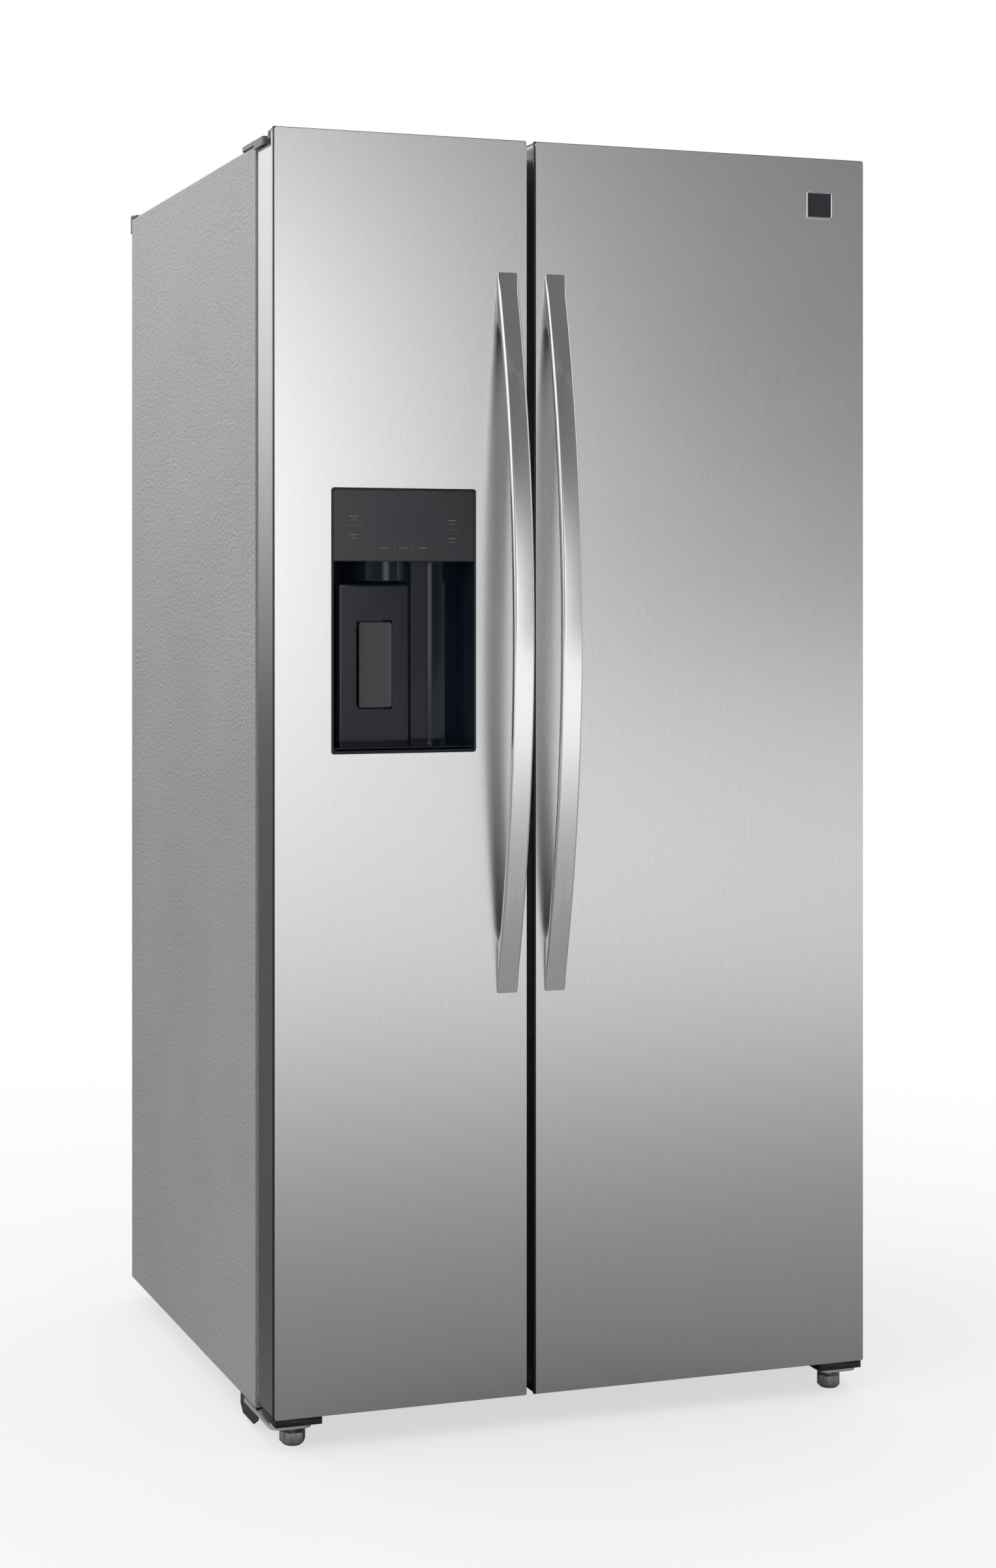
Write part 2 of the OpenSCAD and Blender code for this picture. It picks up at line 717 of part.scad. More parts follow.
module evaporator_coil() {
    color([0.75, 0.76, 0.78])
        finned_coil(fz_x0 + 34, fz_x1 - 34, in_y1 - 34, step_z + 60, 8, 56, 46, 10, 4.5);
}

module evaporator_cover() {
    y = in_y1 - evap_d;
    color([0.92, 0.93, 0.94])
        difference() {
            union() {
                box([fz_x0, y, step_z], [fz_x1, y + 2.5, evap_z1]);
                box([fz_x0, y + 2.5, evap_z1 - 2.5], [fz_x1, in_y1, evap_z1]);
                for (a = [0 : 90 : 270])
                    translate([evap_fan_x, 0, evap_fan_z]) rotate([0, a + 45, 0])
                        box([16, y + 2.5, -3], [62, y + 8, 3]);
                translate([evap_fan_x, y + 14, evap_fan_z]) rotate([90, 0, 0]) cylinder(h = 14, r = 18);
                translate([evap_fan_x, y + 30, evap_fan_z]) rotate([90, 0, 0]) cylinder(h = 20, r = 3);
            }
            for (i = [-3 : 3])
                for (s = [-1, 1])
                    box([evap_fan_x + s * 22, y - eps, evap_fan_z + i * 12 - 3],
                        [evap_fan_x + s * 60, y + 2.5 + eps, evap_fan_z + i * 12 + 3]);
            for (i = [0 : 5])
                box([fz_x0 + 40, y - eps, step_z + 30 + i * 14], [fz_x1 - 40, y + 3, step_z + 36 + i * 14]);
        }
}

module evaporator_fan() {
    color([0.3, 0.3, 0.3])
        translate([evap_fan_x, in_y1 - evap_d + 28, evap_fan_z]) rotate([90, 0, 0]) fan(50, 16, 12, 3);
}

module ice_maker() {
    x0 = fz_x0 + 14;
    x1 = fz_x1 - 14;
    y0 = in_y1 - 320;
    y1 = in_y1 - 60;
    z0 = in_z1 - 95;
    color([0.88, 0.89, 0.9]) {
        difference() {
            box([x0, y0, z0], [x1, y1, z0 + 60]);
            for (i = [0 : 6])
                box([x0 + 14, y0 + 12 + i * 35, z0 + 26], [x1 - 70, y0 + 40 + i * 35, z0 + 61]);
        }
        box([x1 - 60, y0, z0 + 60], [x1, y1, in_z1]);
        for (i = [0 : 6])
            box([x0 + 20, y0 + 22 + i * 35, z0 + 62], [x1 - 60, y0 + 28 + i * 35, z0 + 70]);
    }
}

module ice_bucket() {
    x0 = fz_x0 + drawer_gap;
    x1 = fz_x1 - drawer_gap;
    y1 = in_y1 - 110;
    color([0.86, 0.9, 0.93])
        difference() {
            union() {
                tub([x0, shelf_y0, bucket_z], [x1, y1, bucket_z + bucket_h], tub_t);
                box([dp_mid - 34, spout_y, bucket_z], [dp_mid + 34, shelf_y0 + tub_t, bucket_z + 62]);
            }
            box([dp_mid - 34 + tub_t, spout_y + tub_t, bucket_z + tub_t],
                [dp_mid + 34 - tub_t, shelf_y0 + tub_t + eps, bucket_z + 62 - tub_t]);
            box([dp_mid - 34 + tub_t, spout_y + tub_t, bucket_z - eps],
                [dp_mid + 34 - tub_t, spout_y + 26, bucket_z + 10]);
            translate([dp_mid, y1 + 1, auger_z]) rotate([90, 0, 0]) cylinder(h = 6, r = 9);
        }
}

module ice_auger() {
    len = in_y1 - 116 - shelf_y0 - 8;
    color([0.7, 0.7, 0.72])
        translate([dp_mid, in_y1 - 116, auger_z]) rotate([90, 0, 0])
            difference() {
                union() {
                    cylinder(h = len, r = 7);
                    translate([0, 0, 6])
                        linear_extrude(height = len - 10, twist = 720, slices = 48, $fn = 8)
                            translate([-24, -2]) square([48, 4]);
                }
                translate([0, 0, -eps]) cylinder(h = 20, r = 4 + pin_gap);
            }
}

module auger_motor() {
    color([0.5, 0.5, 0.52]) {
        box([dp_mid - 40, in_y1 - 106, auger_z - 31], [dp_mid + 40, in_y1, auger_z + 36]);
        translate([dp_mid, in_y1 - 106, auger_z]) rotate([90, 0, 0]) cylinder(h = 26, r = 4);
    }
}

// A shelf frame: a rim that holds the glass, from its left and right ends and its height
module shelf_frame(x0, x1, y1, z) {
    difference() {
        box([x0, shelf_y0, z], [x1, y1, z + shelf_frame_h]);
        box([x0 + shelf_rim, shelf_y0 + shelf_rim, z - eps], [x1 - shelf_rim, y1 - shelf_rim, z + 40]);
        box([x0 + 5, shelf_y0 + 5, z + shelf_frame_h - glass_t], [x1 - 5, y1 - 5, z + 40]);
    }
}

module shelf_pane(x0, x1, y1, z) {
    box([x0 + 5.2, shelf_y0 + 5.2, z + shelf_frame_h - glass_t], [x1 - 5.2, y1 - 5.2, z + shelf_frame_h]);
}

// Rails for the upper drawer of a compartment, on both of its walls
module drawer_rails(x0, x1, drawer_x0, drawer_x1) {
    z = drawer_z(1) - 0.5;
    box([x0, shelf_y0, z - 9], [drawer_x0 + 12, drawer_y1, z]);
    box([drawer_x1 - 12, shelf_y0, z - 9], [x1, drawer_y1, z]);
}

module shelf_frames() {
    color([0.8, 0.82, 0.84]) {
        for (i = [0 : fridge_shelf_n - 1])
            shelf_frame(fr_x0, fr_x1, in_y1, fridge_shelf_z(i));
        for (i = [0 : freezer_shelf_n - 1])
            shelf_frame(fz_x0, fz_x1, in_y1 - evap_d, freezer_shelf_z(i));
        drawer_rails(fr_x0, fr_x1, crisper_x0, crisper_x1);
        drawer_rails(fz_x0, fz_x1, basket_x0, basket_x1);
    }
}

module shelf_glass() {
    color([0.8, 0.9, 0.88, 0.4]) {
        for (i = [0 : fridge_shelf_n - 1])
            shelf_pane(fr_x0, fr_x1, in_y1, fridge_shelf_z(i));
        for (i = [0 : freezer_shelf_n - 1])
            shelf_pane(fz_x0, fz_x1, in_y1 - evap_d, freezer_shelf_z(i));
    }
}

module interior_lights() {
    color([0.97, 0.97, 0.92])
        for (x = [(fz_x0 + fz_x1) / 2, (fr_x0 + fr_x1) / 2])
            box([x - 60, shelf_y0 + 40, in_z1 - 8], [x + 60, shelf_y0 + 80, in_z1]);
}

module water_filter() {
    color([0.9, 0.9, 0.92]) {
        translate([fr_x1 - 42, in_y1, in_z1 - 42]) rotate([90, 0, 0]) cylinder(h = 190, r = 30);
        translate([fr_x1 - 42, in_y1 - 190, in_z1 - 42]) rotate([90, 0, 0]) cylinder(h = 24, r = 24);
        box([fr_x1 - 62, in_y1 - 60, in_z1 - 20], [fr_x1 - 22, in_y1, in_z1]);
    }
}

// A drawer with a raised front and a finger pull
module drawer(x0, x1, i) {
    z = drawer_z(i);
    difference() {
        union() {
            tub([x0, shelf_y0, z], [x1, drawer_y1, z + crisper_h - 12], tub_t);
            box([x0, shelf_y0, z], [x1, shelf_y0 + 6, z + crisper_h - 4]);
            box([x0 + 40, shelf_y0 + 6, z + crisper_h - 14], [x1 - 40, shelf_y0 + 22, z + crisper_h - 10]);
        }
        box([x0 + 60, shelf_y0 - eps, z + crisper_h - 40], [x1 - 60, shelf_y0 + 7, z + crisper_h - 16]);
    }
}

module crisper_lower() {
    color([0.82, 0.9, 0.95, 0.6]) drawer(crisper_x0, crisper_x1, 0);
}

module crisper_upper() {
    color([0.82, 0.9, 0.95, 0.6]) drawer(crisper_x0, crisper_x1, 1);
}

module freezer_basket_lower() {
    color([0.85, 0.9, 0.95, 0.6]) drawer(basket_x0, basket_x1, 0);
}

module freezer_basket_upper() {
    color([0.85, 0.9, 0.95, 0.6]) drawer(basket_x0, basket_x1, 1);
}

// ---- doors: x0 and x1 are a door's edges, side is -1 or 1 for its hinge side ----

module door_pan(x0, x1) {
    z0 = door_lift + seam_proud;
    z1 = body_h - seam_proud;
    a = x0 + seam_proud;
    b = x1 - seam_proud;
    color([0.76, 0.77, 0.78])
        difference() {
            lying(z0, z1) {
                translate([a + pan_r, face_y]) square([b - a - 2 * pan_r, pan_d]);
                translate([a, face_y + pan_r]) square([b - a, pan_d - pan_r]);
                for (x = [a + pan_r, b - pan_r])
                    translate([x, face_y + pan_r]) circle(pan_r);
            }
            box([a + 2 * sheet_t, face_y + sheet_t, z0 + 2 * sheet_t],
                [b - 2 * sheet_t, seam_y + eps, z1 - 2 * sheet_t]);
            children();
        }
}

// The corner that is cut away for the top hinge, grown by t
module notch(side, t) {
    x = side * side_x;
    box([x + side * 5, face_y + notch_y - t, notch_z - t],
        [x - side * (notch_len + t), door_back + eps, body_h + 5]);
}

// The black frame: seam edge, top and bottom caps, notch lining, cam block and hinge bushings
module door_frame(x0, x1, side) {
    p = seam_proud;
    hx = side * hinge_x;
    color([0.08, 0.08, 0.09])
        difference() {
            union() {
                difference() {
                    box([x0, seam_y, door_lift], [x1, wall_y, body_h]);
                    box([x0 + frame_w, seam_y - eps, door_lift + frame_w],
                        [x1 - frame_w, wall_y + eps, body_h - frame_w]);
                }
                box([x0 + p, wall_y, body_h - p - cap_h], [x1 - p, door_back, body_h - p]);
                box([x0 + p, wall_y, door_lift + p], [x1 - p, door_back, door_lift + p + cap_h]);
                difference() {
                    intersection() {
                        notch(side, cap_h);
                        box([x0 + p, wall_y, notch_z - cap_h], [x1 - p, door_back, body_h - p]);
                    }
                    notch(side, 0);
                }
                box([hx + side * (hinge_in_x - 3), face_y + 3, cam_z],
                    [side * (side_x - 3 - cam_len), door_back - 14, door_lift]);
                box([hx + side * (hinge_in_x - 3), seam_y, cam_z],
                    [side * (side_x - 3 - cam_len), door_back - 14, door_lift + p + cap_h]);
                post(hx, hinge_y, door_lift + p, door_lift + 24, 11);
                post(hx, hinge_y, notch_z - 24, notch_z - cap_h, 11);
            }
            notch(side, 0);
            post(hx, hinge_y, cam_z - eps, door_lift + 20, pin_r + pin_gap);
            post(hx, hinge_y, notch_z - 20, notch_z + eps, pin_r + pin_gap);
        }
}

// The insulated body inside the pan and the frame, wrapped in steel at its sides
module door_body(x0, x1, side) {
    p = seam_proud;
    hx = side * hinge_x;
    color([0.7, 0.71, 0.72])
        difference() {
            union() {
                box([x0 + p, wall_y, door_lift + p + cap_h], [x1 - p, door_back, body_h - p - cap_h]);
                box([x0 + frame_w, face_y + sheet_t, door_lift + frame_w],
                    [x1 - frame_w, wall_y, body_h - frame_w]);
            }
            notch(side, cap_h);
            post(hx, hinge_y, door_lift, door_lift + 24, 11);
            post(hx, hinge_y, notch_z - 24, notch_z, 11);
            children();
        }
}

// A flat ring facing the front, from its outer corners in X and Z and its width
module ring(x0, x1, z0, z1, w, y0, y1) {
    difference() {
        box([x0, y0, z0], [x1, y1, z1]);
        box([x0 + w, y0 - eps, z0 + w], [x1 - w, y1 + eps, z1 - w]);
    }
}

// The inner liner: a flat panel with a raised dyke just inside the compartment's mouth
module door_liner(x0, x1, room_x0, room_x1) {
    difference() {
        union() {
            box([x0 + 2, door_back, door_lift + 5], [x1 - 2, bin_y0, liner_top]);
            ring(room_x0 + dyke_in, room_x1 - dyke_in, in_z0 + dyke_in, in_z1 - dyke_in, dyke_w,
                bin_y0, bin_y0 + 22);
        }
        children();
    }
}

module gasket(x0, x1) {
    color([0.2, 0.2, 0.21])
        ring(x0, x1, door_lift + 8, liner_top - 3, gasket_w, bin_y0, cab_y0 - 0.3);
}

// A bowed bar: its front is one arc, its back lies on the door at both ends
module handle(x0) {
    half = handle_len / 2;
    sag = handle_reach - handle_tip;
    r = (half * half + sag * sag) / (2 * sag);
    yc = face_y - handle_reach + r;
    zc = body_h - handle_top - half;
    grip = half - handle_foot;
    color([0.62, 0.62, 0.64])
        difference() {
            along_x(x0, x0 + handle_w) intersection() {
                translate([yc, zc]) circle(r, $fn = 1440);
                translate([face_y - handle_reach - 1, zc - half]) square([handle_reach + 1, handle_len]);
            }
            intersection() {
                along_x(x0 - eps, x0 + handle_w + eps) translate([yc, zc]) circle(r - handle_t, $fn = 1440);
                box([x0 - eps, face_y - handle_reach, zc - grip],
                    [x0 + handle_w + eps, face_y + 1, zc + grip]);
            }
            for (z = [zc - grip - 12, zc + grip + 12])
                translate([x0 - eps, face_y - 7, z]) rotate([0, 90, 0]) cylinder(h = 3, r = 2.5);
        }
}

// Door bins hang on the liner, one above another
module bins(x0, x1, heights) {
    for (z = heights)
        tub([x0, bin_y0, z], [x1, bin_y1, z + bin_h], tub_t);
}

// ---- freezer door ----

module dispenser_hole(grow) {
    facing(face_y - 10, door_back + 40)
        round_rect([dp_x0 - grow, disp_z - grow], [dp_x1 + grow, dp_z1 + grow], 4 + grow);
}

module freezer_door_skin() {
    door_pan(-side_x, freezer_x1) dispenser_hole(0.2);
}

module freezer_door_frame() {
    door_frame(-side_x, freezer_x1, -1);
}

module freezer_door_body() {
    door_body(-side_x, freezer_x1, -1) {
        dispenser_hole(0.5);
        box([dp_mid - chute_r - 0.5, chute_y - chute_r - 0.5, dp_z1 - eps],
            [dp_mid + chute_r + 0.5, door_back + eps, bucket_z - 4]);
    }
}

// Behind the dispenser the liner has an opening with a hood; ice falls in through the hood's top
module freezer_door_liner() {
    wall = 10;
    x0 = dp_x0 - 2;
    x1 = dp_x1 + 2;
    z0 = disp_z - 4;
    z1 = bucket_z - 4;
    color([0.93, 0.94, 0.95]) {
        door_liner(-side_x, freezer_x1, fz_x0, fz_x1) {
            box([x0, door_back - eps, z0], [x1, bulge_y, z1 - liner_t]);
            box([x0 - wall - gap, bin_y0, z0 - wall - gap], [x1 + wall + gap, bulge_y, z1 + gap]);
        }
        difference() {
            box([x0 - wall, bin_y0 + gap, z0 - wall], [x1 + wall, bulge_y, z1]);
            box([x0, bin_y0, z0], [x1, bulge_y - liner_t, z1 - liner_t]);
            box([dp_mid - 30, bin_y0 + 4, z1 - 5], [dp_mid + 30, spout_y + 24, z1 + eps]);
        }
    }
}

module freezer_door_gasket() {
    gasket(-side_x + gasket_in, freezer_x1 - 4);
}

module freezer_handle() {
    handle(freezer_x1 - handle_edge - handle_w);
}

module freezer_door_bins() {
    top = bucket_z + 90;
    color([0.85, 0.9, 0.94, 0.6])
        bins(-hinge_x + bin_start(fz_x0 + hinge_x), -hinge_x + bin_reach(fz_x1 + hinge_x),
            concat([for (i = [0 : 2]) in_z0 + 60 + i * (disp_z - 60 - bin_h - in_z0) / 2.3],
                [for (i = [0 : 1]) top + i * (in_z1 - 40 - top) / 2]));
}

// Plan of the recess: its back right corner is a large curve
module recess_plan(grow) {
    r = recess_r - grow;
    x0 = dp_x0 + housing_t + grow;
    x1 = dp_x1 - housing_t - grow;
    y0 = face_y - 1;
    y1 = recess_y - grow;
    translate([x0, y0]) square([x1 - x0, y1 - r - y0]);
    translate([x0, y0]) square([x1 - x0 - r, y1 - y0]);
    translate([x1 - r, y1 - r]) circle(r, $fn = 96);
}

module dispenser_housing() {
    floor_z = disp_z + housing_t;
    px0 = dp_mid - paddle_w / 2 - paddle_gap;
    px1 = dp_mid + paddle_w / 2 + paddle_gap;
    color([0.04, 0.045, 0.055])
        difference() {
            union() {
                difference() {
                    intersection() {
                        box([dp_x0, face_y - lip, disp_z], [dp_x1, recess_y + housing_t, dp_z1]);
                        facing(face_y - 5, recess_y + 9) round_rect([dp_x0, disp_z], [dp_x1, dp_z1], 4);
                    }
                    lying(floor_z, panel_z) recess_plan(0);
                    box([dp_x0 + housing_t, face_y - 1, panel_z + eps],
                        [dp_x1 - housing_t, face_y + 12, dp_z1 - housing_t]);
                    box([dp_x0 + housing_t, face_y + 16, panel_z + housing_t],
                        [dp_x1 - housing_t, recess_y + housing_t + eps, dp_z1 + eps]);
                }
                box([dp_mid - pillar_w / 2, pillar_y, floor_z],
                    [dp_mid + pillar_w / 2, recess_y + eps, panel_z - chute_drop]);
                box([px0 - 8, recess_y, paddle_z0 - 16], [px1 + 8, recess_y + 12, paddle_z1 + 16]);
            }
            box([px0, pillar_y - eps, paddle_z0 - paddle_gap],
                [px1, pillar_y + pocket_d, paddle_z1 + paddle_gap]);
            translate([px0 - 4, paddle_pin_y, paddle_pin_z]) rotate([0, 90, 0])
                cylinder(h = px1 - px0 + 8, r = 2.5 + pin_gap);
            post(dp_mid, chute_y, panel_z - chute_drop - eps, panel_z + 10, chute_r + 0.3);
        }
}

module dispenser_panel() {
    color([0.2, 0.2, 0.22])
        facing(face_y - lip, face_y + 3.5)
            round_rect([dp_x0 + housing_t + 0.3, panel_z + 1],
                [dp_x1 - housing_t - 0.3, dp_z1 - housing_t - 0.3], 3);
}

// The ice chute hangs a little way out of the recess's ceiling
module dispenser_chute() {
    color([0.06, 0.06, 0.07])
        difference() {
            post(dp_mid, chute_y, panel_z - chute_drop, chute_top, chute_r);
            post(dp_mid, chute_y, panel_z - chute_drop - eps, chute_top + eps, chute_r - 4);
        }
}

module dispenser_paddle() {
    color([0.13, 0.14, 0.16]) {
        facing(paddle_y, paddle_y + paddle_t)
            round_rect([dp_mid - paddle_w / 2, paddle_z0], [dp_mid + paddle_w / 2, paddle_z1], 4);
        box([dp_mid - paddle_w / 2 + 4, paddle_y + paddle_t - eps, paddle_pin_z - 4],
            [dp_mid + paddle_w / 2 - 4, paddle_pin_y + 4, paddle_pin_z + 4]);
        translate([dp_mid - paddle_w / 2 - paddle_gap - 3.5, paddle_pin_y, paddle_pin_z])
            rotate([0, 90, 0]) cylinder(h = paddle_w + 2 * paddle_gap + 7, r = 2.5);
    }
}

// The tray lies on the recess's floor in front of the pillar and slides out forwards
module drip_tray() {
    z0 = disp_z + housing_t + 0.3;
    color([0.1, 0.1, 0.11])
        difference() {
            lying(z0, z0 + tray_h) difference() {
                recess_plan(1);
                translate([dp_x0, face_y - 5]) square([disp_w, 6]);
                translate([dp_x0, pillar_y - 0.6]) square([dp_mid + pillar_w / 2 + 0.6 - dp_x0, 60]);
            }
            for (i = [0 : 27])
                box([dp_x0 + 12 + i * 6.8, face_y + 10, z0 - eps],
                    [dp_x0 + 15 + i * 6.8, pillar_y - 8, z0 + tray_h + eps]);
        }
}

// ---- fridge door ----

module fridge_door_skin() {
    door_pan(fridge_x0, side_x);
}

module fridge_door_frame() {
    door_frame(fridge_x0, side_x, 1);
}

module fridge_door_body() {
    door_body(fridge_x0, side_x, 1);
}

module fridge_door_liner() {
    color([0.93, 0.94, 0.95]) door_liner(fridge_x0, side_x, fr_x0, fr_x1);
}

module fridge_door_gasket() {
    gasket(fridge_x0 + 4, side_x - gasket_in);
}

module fridge_handle() {
    handle(fridge_x0 + handle_edge - 1);
}

module fridge_door_bins() {
    color([0.85, 0.9, 0.94, 0.6])
        bins(hinge_x - bin_reach(hinge_x - fr_x0), hinge_x - bin_start(hinge_x - fr_x1),
            [for (i = [0 : 4]) in_z0 + 60 + i * (in_z1 - in_z0 - 60 - bin_h - 60) / 4]);
}

module badge() {
    x1 = side_x - 51.5;
    z1 = body_h - 49;
    color([0.15, 0.15, 0.16])
        facing(face_y - 2, face_y) round_rect([x1 - 42, z1 - 39], [x1, z1], 3);
}

cabinet_shell();
back_panel();
cabinet_foam();
freezer_liner();
fridge_liner();
mullion_strip();
base_frame();
machine_cover();
compressor();
compressor_mounts();
condenser_coil();
condenser_shroud();
drain_pan();
water_valve();
power_inlet();
evaporator_coil();
evaporator_cover();
ice_maker();
ice_bucket();
auger_motor();
shelf_glass();
shelf_frames();
interior_lights();
water_filter();
top_hinges();
hinge_covers();
bottom_hinges();
rear_spacers();
screws();
condenser_fan();
evaporator_fan();
ice_auger();
crisper_upper();
crisper_lower();
freezer_basket_upper();
freezer_basket_lower();
roller_left();
roller_right();
foot_left();
foot_right();
freezer_door_skin();
freezer_door_frame();
freezer_door_body();
freezer_door_liner();
freezer_door_gasket();
freezer_handle();
freezer_door_bins();
dispenser_housing();
dispenser_panel();
dispenser_chute();
dispenser_paddle();
drip_tray();
fridge_door_skin();
fridge_door_frame();
fridge_door_body();
fridge_door_liner();
fridge_door_gasket();
fridge_handle();
fridge_door_bins();
badge();
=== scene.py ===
"""Looks of a side by side refrigerator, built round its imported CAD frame.

Metres, +Z up, the doors face -Y. CAD places come from the frame; sizes that the frame doesn't
give are named below.
"""

import json
import math

import bmesh
import bpy
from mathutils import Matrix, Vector


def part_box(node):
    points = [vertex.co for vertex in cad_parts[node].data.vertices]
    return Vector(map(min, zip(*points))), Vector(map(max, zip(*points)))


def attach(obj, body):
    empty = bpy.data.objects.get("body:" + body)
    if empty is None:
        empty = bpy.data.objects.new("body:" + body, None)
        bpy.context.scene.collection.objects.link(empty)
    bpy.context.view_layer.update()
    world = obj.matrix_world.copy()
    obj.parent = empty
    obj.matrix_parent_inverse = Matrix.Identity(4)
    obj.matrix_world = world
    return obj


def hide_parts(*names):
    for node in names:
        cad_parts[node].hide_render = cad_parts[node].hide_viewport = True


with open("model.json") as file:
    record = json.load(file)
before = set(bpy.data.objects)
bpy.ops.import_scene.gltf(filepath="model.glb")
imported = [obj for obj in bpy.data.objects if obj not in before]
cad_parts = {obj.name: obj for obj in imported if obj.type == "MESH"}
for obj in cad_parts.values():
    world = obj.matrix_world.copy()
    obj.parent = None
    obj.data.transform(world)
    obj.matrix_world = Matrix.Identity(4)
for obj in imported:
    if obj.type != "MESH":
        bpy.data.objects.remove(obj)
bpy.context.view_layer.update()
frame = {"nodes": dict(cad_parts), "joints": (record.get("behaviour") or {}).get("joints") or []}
NODES = frame["nodes"]
BOX = {n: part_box(n) for n in NODES}
MM = 0.001

# ---- places on the object, from the frame ----
SKIN_L, SKIN_R = BOX["freezer_door_skin"], BOX["fridge_door_skin"]
CAB = BOX["cabinet_shell"]
HOUSING = BOX["dispenser_housing"]
PANEL = BOX["dispenser_panel"]
CHUTE = BOX["dispenser_chute"]
PADDLE = BOX["dispenser_paddle"]
FACE_Y = SKIN_R[0].y
DOOR_BACK = BOX["fridge_door_body"][1].y
DOOR_TOP = BOX["fridge_door_frame"][1].z
WALL_Y = FACE_Y + 9.2 * MM          # front of the doors' side walls
CAP = 4 * MM                        # height of the doors' top and bottom caps with their step
NOTCH = Vector((63, 17, 24)) * MM   # hinge notch: along the door, from the face, below the top
SHEET = 1.2 * MM
LINER = 2 * MM


# ---- mesh helpers: each adds a closed shape to a bmesh ----

def merge(bm, part):
    me = bpy.data.meshes.new("part")
    part.to_mesh(me)
    part.free()
    bm.from_mesh(me)
    bpy.data.meshes.remove(me)


def round_edges(bm, r, seg=3, angle=30, keep=lambda e: True):
    """Bevels the edges of a bmesh that are sharper than angle."""
    if r <= 0:
        return
    edges = [e for e in bm.edges if len(e.link_faces) == 2
             and e.calc_face_angle(0) > math.radians(angle) and keep(e)]
    bmesh.ops.bevel(bm, geom=edges, offset=r, segments=seg, profile=0.5, affect="EDGES",
                    clamp_overlap=True)


def block(bm, lo, hi, r=0.0, seg=3, keep=lambda e: True):
    """A box between two corners with rounded edges."""
    part = bmesh.new()
    bmesh.ops.create_cube(part, size=1)
    lo, hi = Vector(map(min, lo, hi)), Vector(map(max, lo, hi))
    for v in part.verts:
        v.co = Vector(((v.co[i] + 0.5) * (hi[i] - lo[i]) + lo[i]) for i in range(3))
    round_edges(part, r, seg, keep=keep)
    merge(bm, part)


def rounded(x0, z0, x1, z1, r, n=6):
    """Points of a rectangle with round corners, counter-clockwise. r is one radius or four."""
    radii = r if hasattr(r, "__len__") else [r] * 4
    corners = [(x0, z0, 180, 1, 1), (x1, z0, 270, -1, 1), (x1, z1, 0, -1, -1), (x0, z1, 90, 1, -1)]
    pts = []
    for (cx, cz, start, sx, sz), rad in zip(corners, radii):
        if rad <= 0:
            pts.append((cx, cz))
            continue
        for k in range(n + 1):
            a = math.radians(start + 90 * k / n)
            pts.append((cx + sx * rad + rad * math.cos(a), cz + sz * rad + rad * math.sin(a)))
    return pts


FACING = lambda u, v, w: Vector((u, w, v))      # outline in X and Z, thickness along Y
LYING = lambda u, v, w: Vector((u, v, w))       # outline in X and Y, thickness along Z


def plate(bm, loops, w0, w1, r=0.0, seg=3, to=FACING, both=True):
    """A flat plate from an outline and its holes, with its rims rounded."""
    part = bmesh.new()
    edges = []
    for loop in loops:
        vs = [part.verts.new(to(u, v, w0)) for u, v in loop]
        edges += [part.edges.new((vs[i], vs[(i + 1) % len(vs)])) for i in range(len(vs))]
    bmesh.ops.triangle_fill(part, edges=edges, use_beauty=True)
    shift = to(0, 0, w1) - to(0, 0, w0)
    made = bmesh.ops.extrude_face_region(part, geom=part.faces[:])
    bmesh.ops.translate(part, vec=shift, verts=[g for g in made["geom"]
                                                if isinstance(g, bmesh.types.BMVert)])
    bmesh.ops.recalc_face_normals(part, faces=part.faces[:])
    if r > 0:
        axis = shift.normalized()
        rims = []
        for e in part.edges:
            flat = [abs(f.normal.dot(axis)) > 0.9 for f in e.link_faces]
            if len(flat) == 2 and flat[0] != flat[1]:
                at_w1 = (e.verts[0].co - to(0, 0, w1)).dot(axis) > -1e-6
                if both or not at_w1:
                    rims.append(e)
        bmesh.ops.bevel(part, geom=rims, offset=r, segments=seg, profile=0.5, affect="EDGES",
                        clamp_overlap=True)
    merge(bm, part)


def loft(bm, rings, closed=False, caps=True):
    """A skin over rings of points. closed joins the last ring to the first."""
    part = bmesh.new()
    rows = [[part.verts.new(p) for p in ring] for ring in rings]
    n = len(rows[0])
    pairs = list(zip(rows, rows[1:])) + ([(rows[-1], rows[0])] if closed else [])
    for a, b in pairs:
        for i in range(n):
            j = (i + 1) % n
            part.faces.new((a[i], a[j], b[j], b[i]))
    if caps and not closed:
        part.faces.new(list(reversed(rows[0])))
        part.faces.new(rows[-1])
    bmesh.ops.recalc_face_normals(part, faces=part.faces[:])
    merge(bm, part)


def sweep(bm, path, profile, to=FACING):
    """Carries a closed profile of (outward, along w) points round a closed outline."""
    n = len(path)
    rings = []
    for i, p in enumerate(path):
        a, b = Vector(path[i - 1]), Vector(path[(i + 1) % n])
        p = Vector(p)
        d0, d1 = (p - a).normalized(), (b - p).normalized()
        t = (d0 + d1).normalized()
        out = Vector((t.y, -t.x)) / max(0.5, t.dot(d1))
        rings.append([to(p.x + out.x * o, p.y + out.y * o, w) for o, w in profile])
    loft(bm, rings, closed=True)


def lathe(bm, centre, profile, axis="z", seg=48):
    """Turns a closed profile of (radius, height) points round an axis through centre."""
    c = Vector(centre)
    rings = []
    for k in range(seg):
        a = 2 * math.pi * k / seg
        ca, sa = math.cos(a), math.sin(a)
        place = {"z": lambda r, h: Vector((r * ca, r * sa, h)),
                 "y": lambda r, h: Vector((r * ca, h, r * sa)),
                 "x": lambda r, h: Vector((h, r * ca, r * sa))}[axis]
        rings.append([c + place(max(r, 1e-5), h) for r, h in profile])
    loft(bm, rings, closed=True)


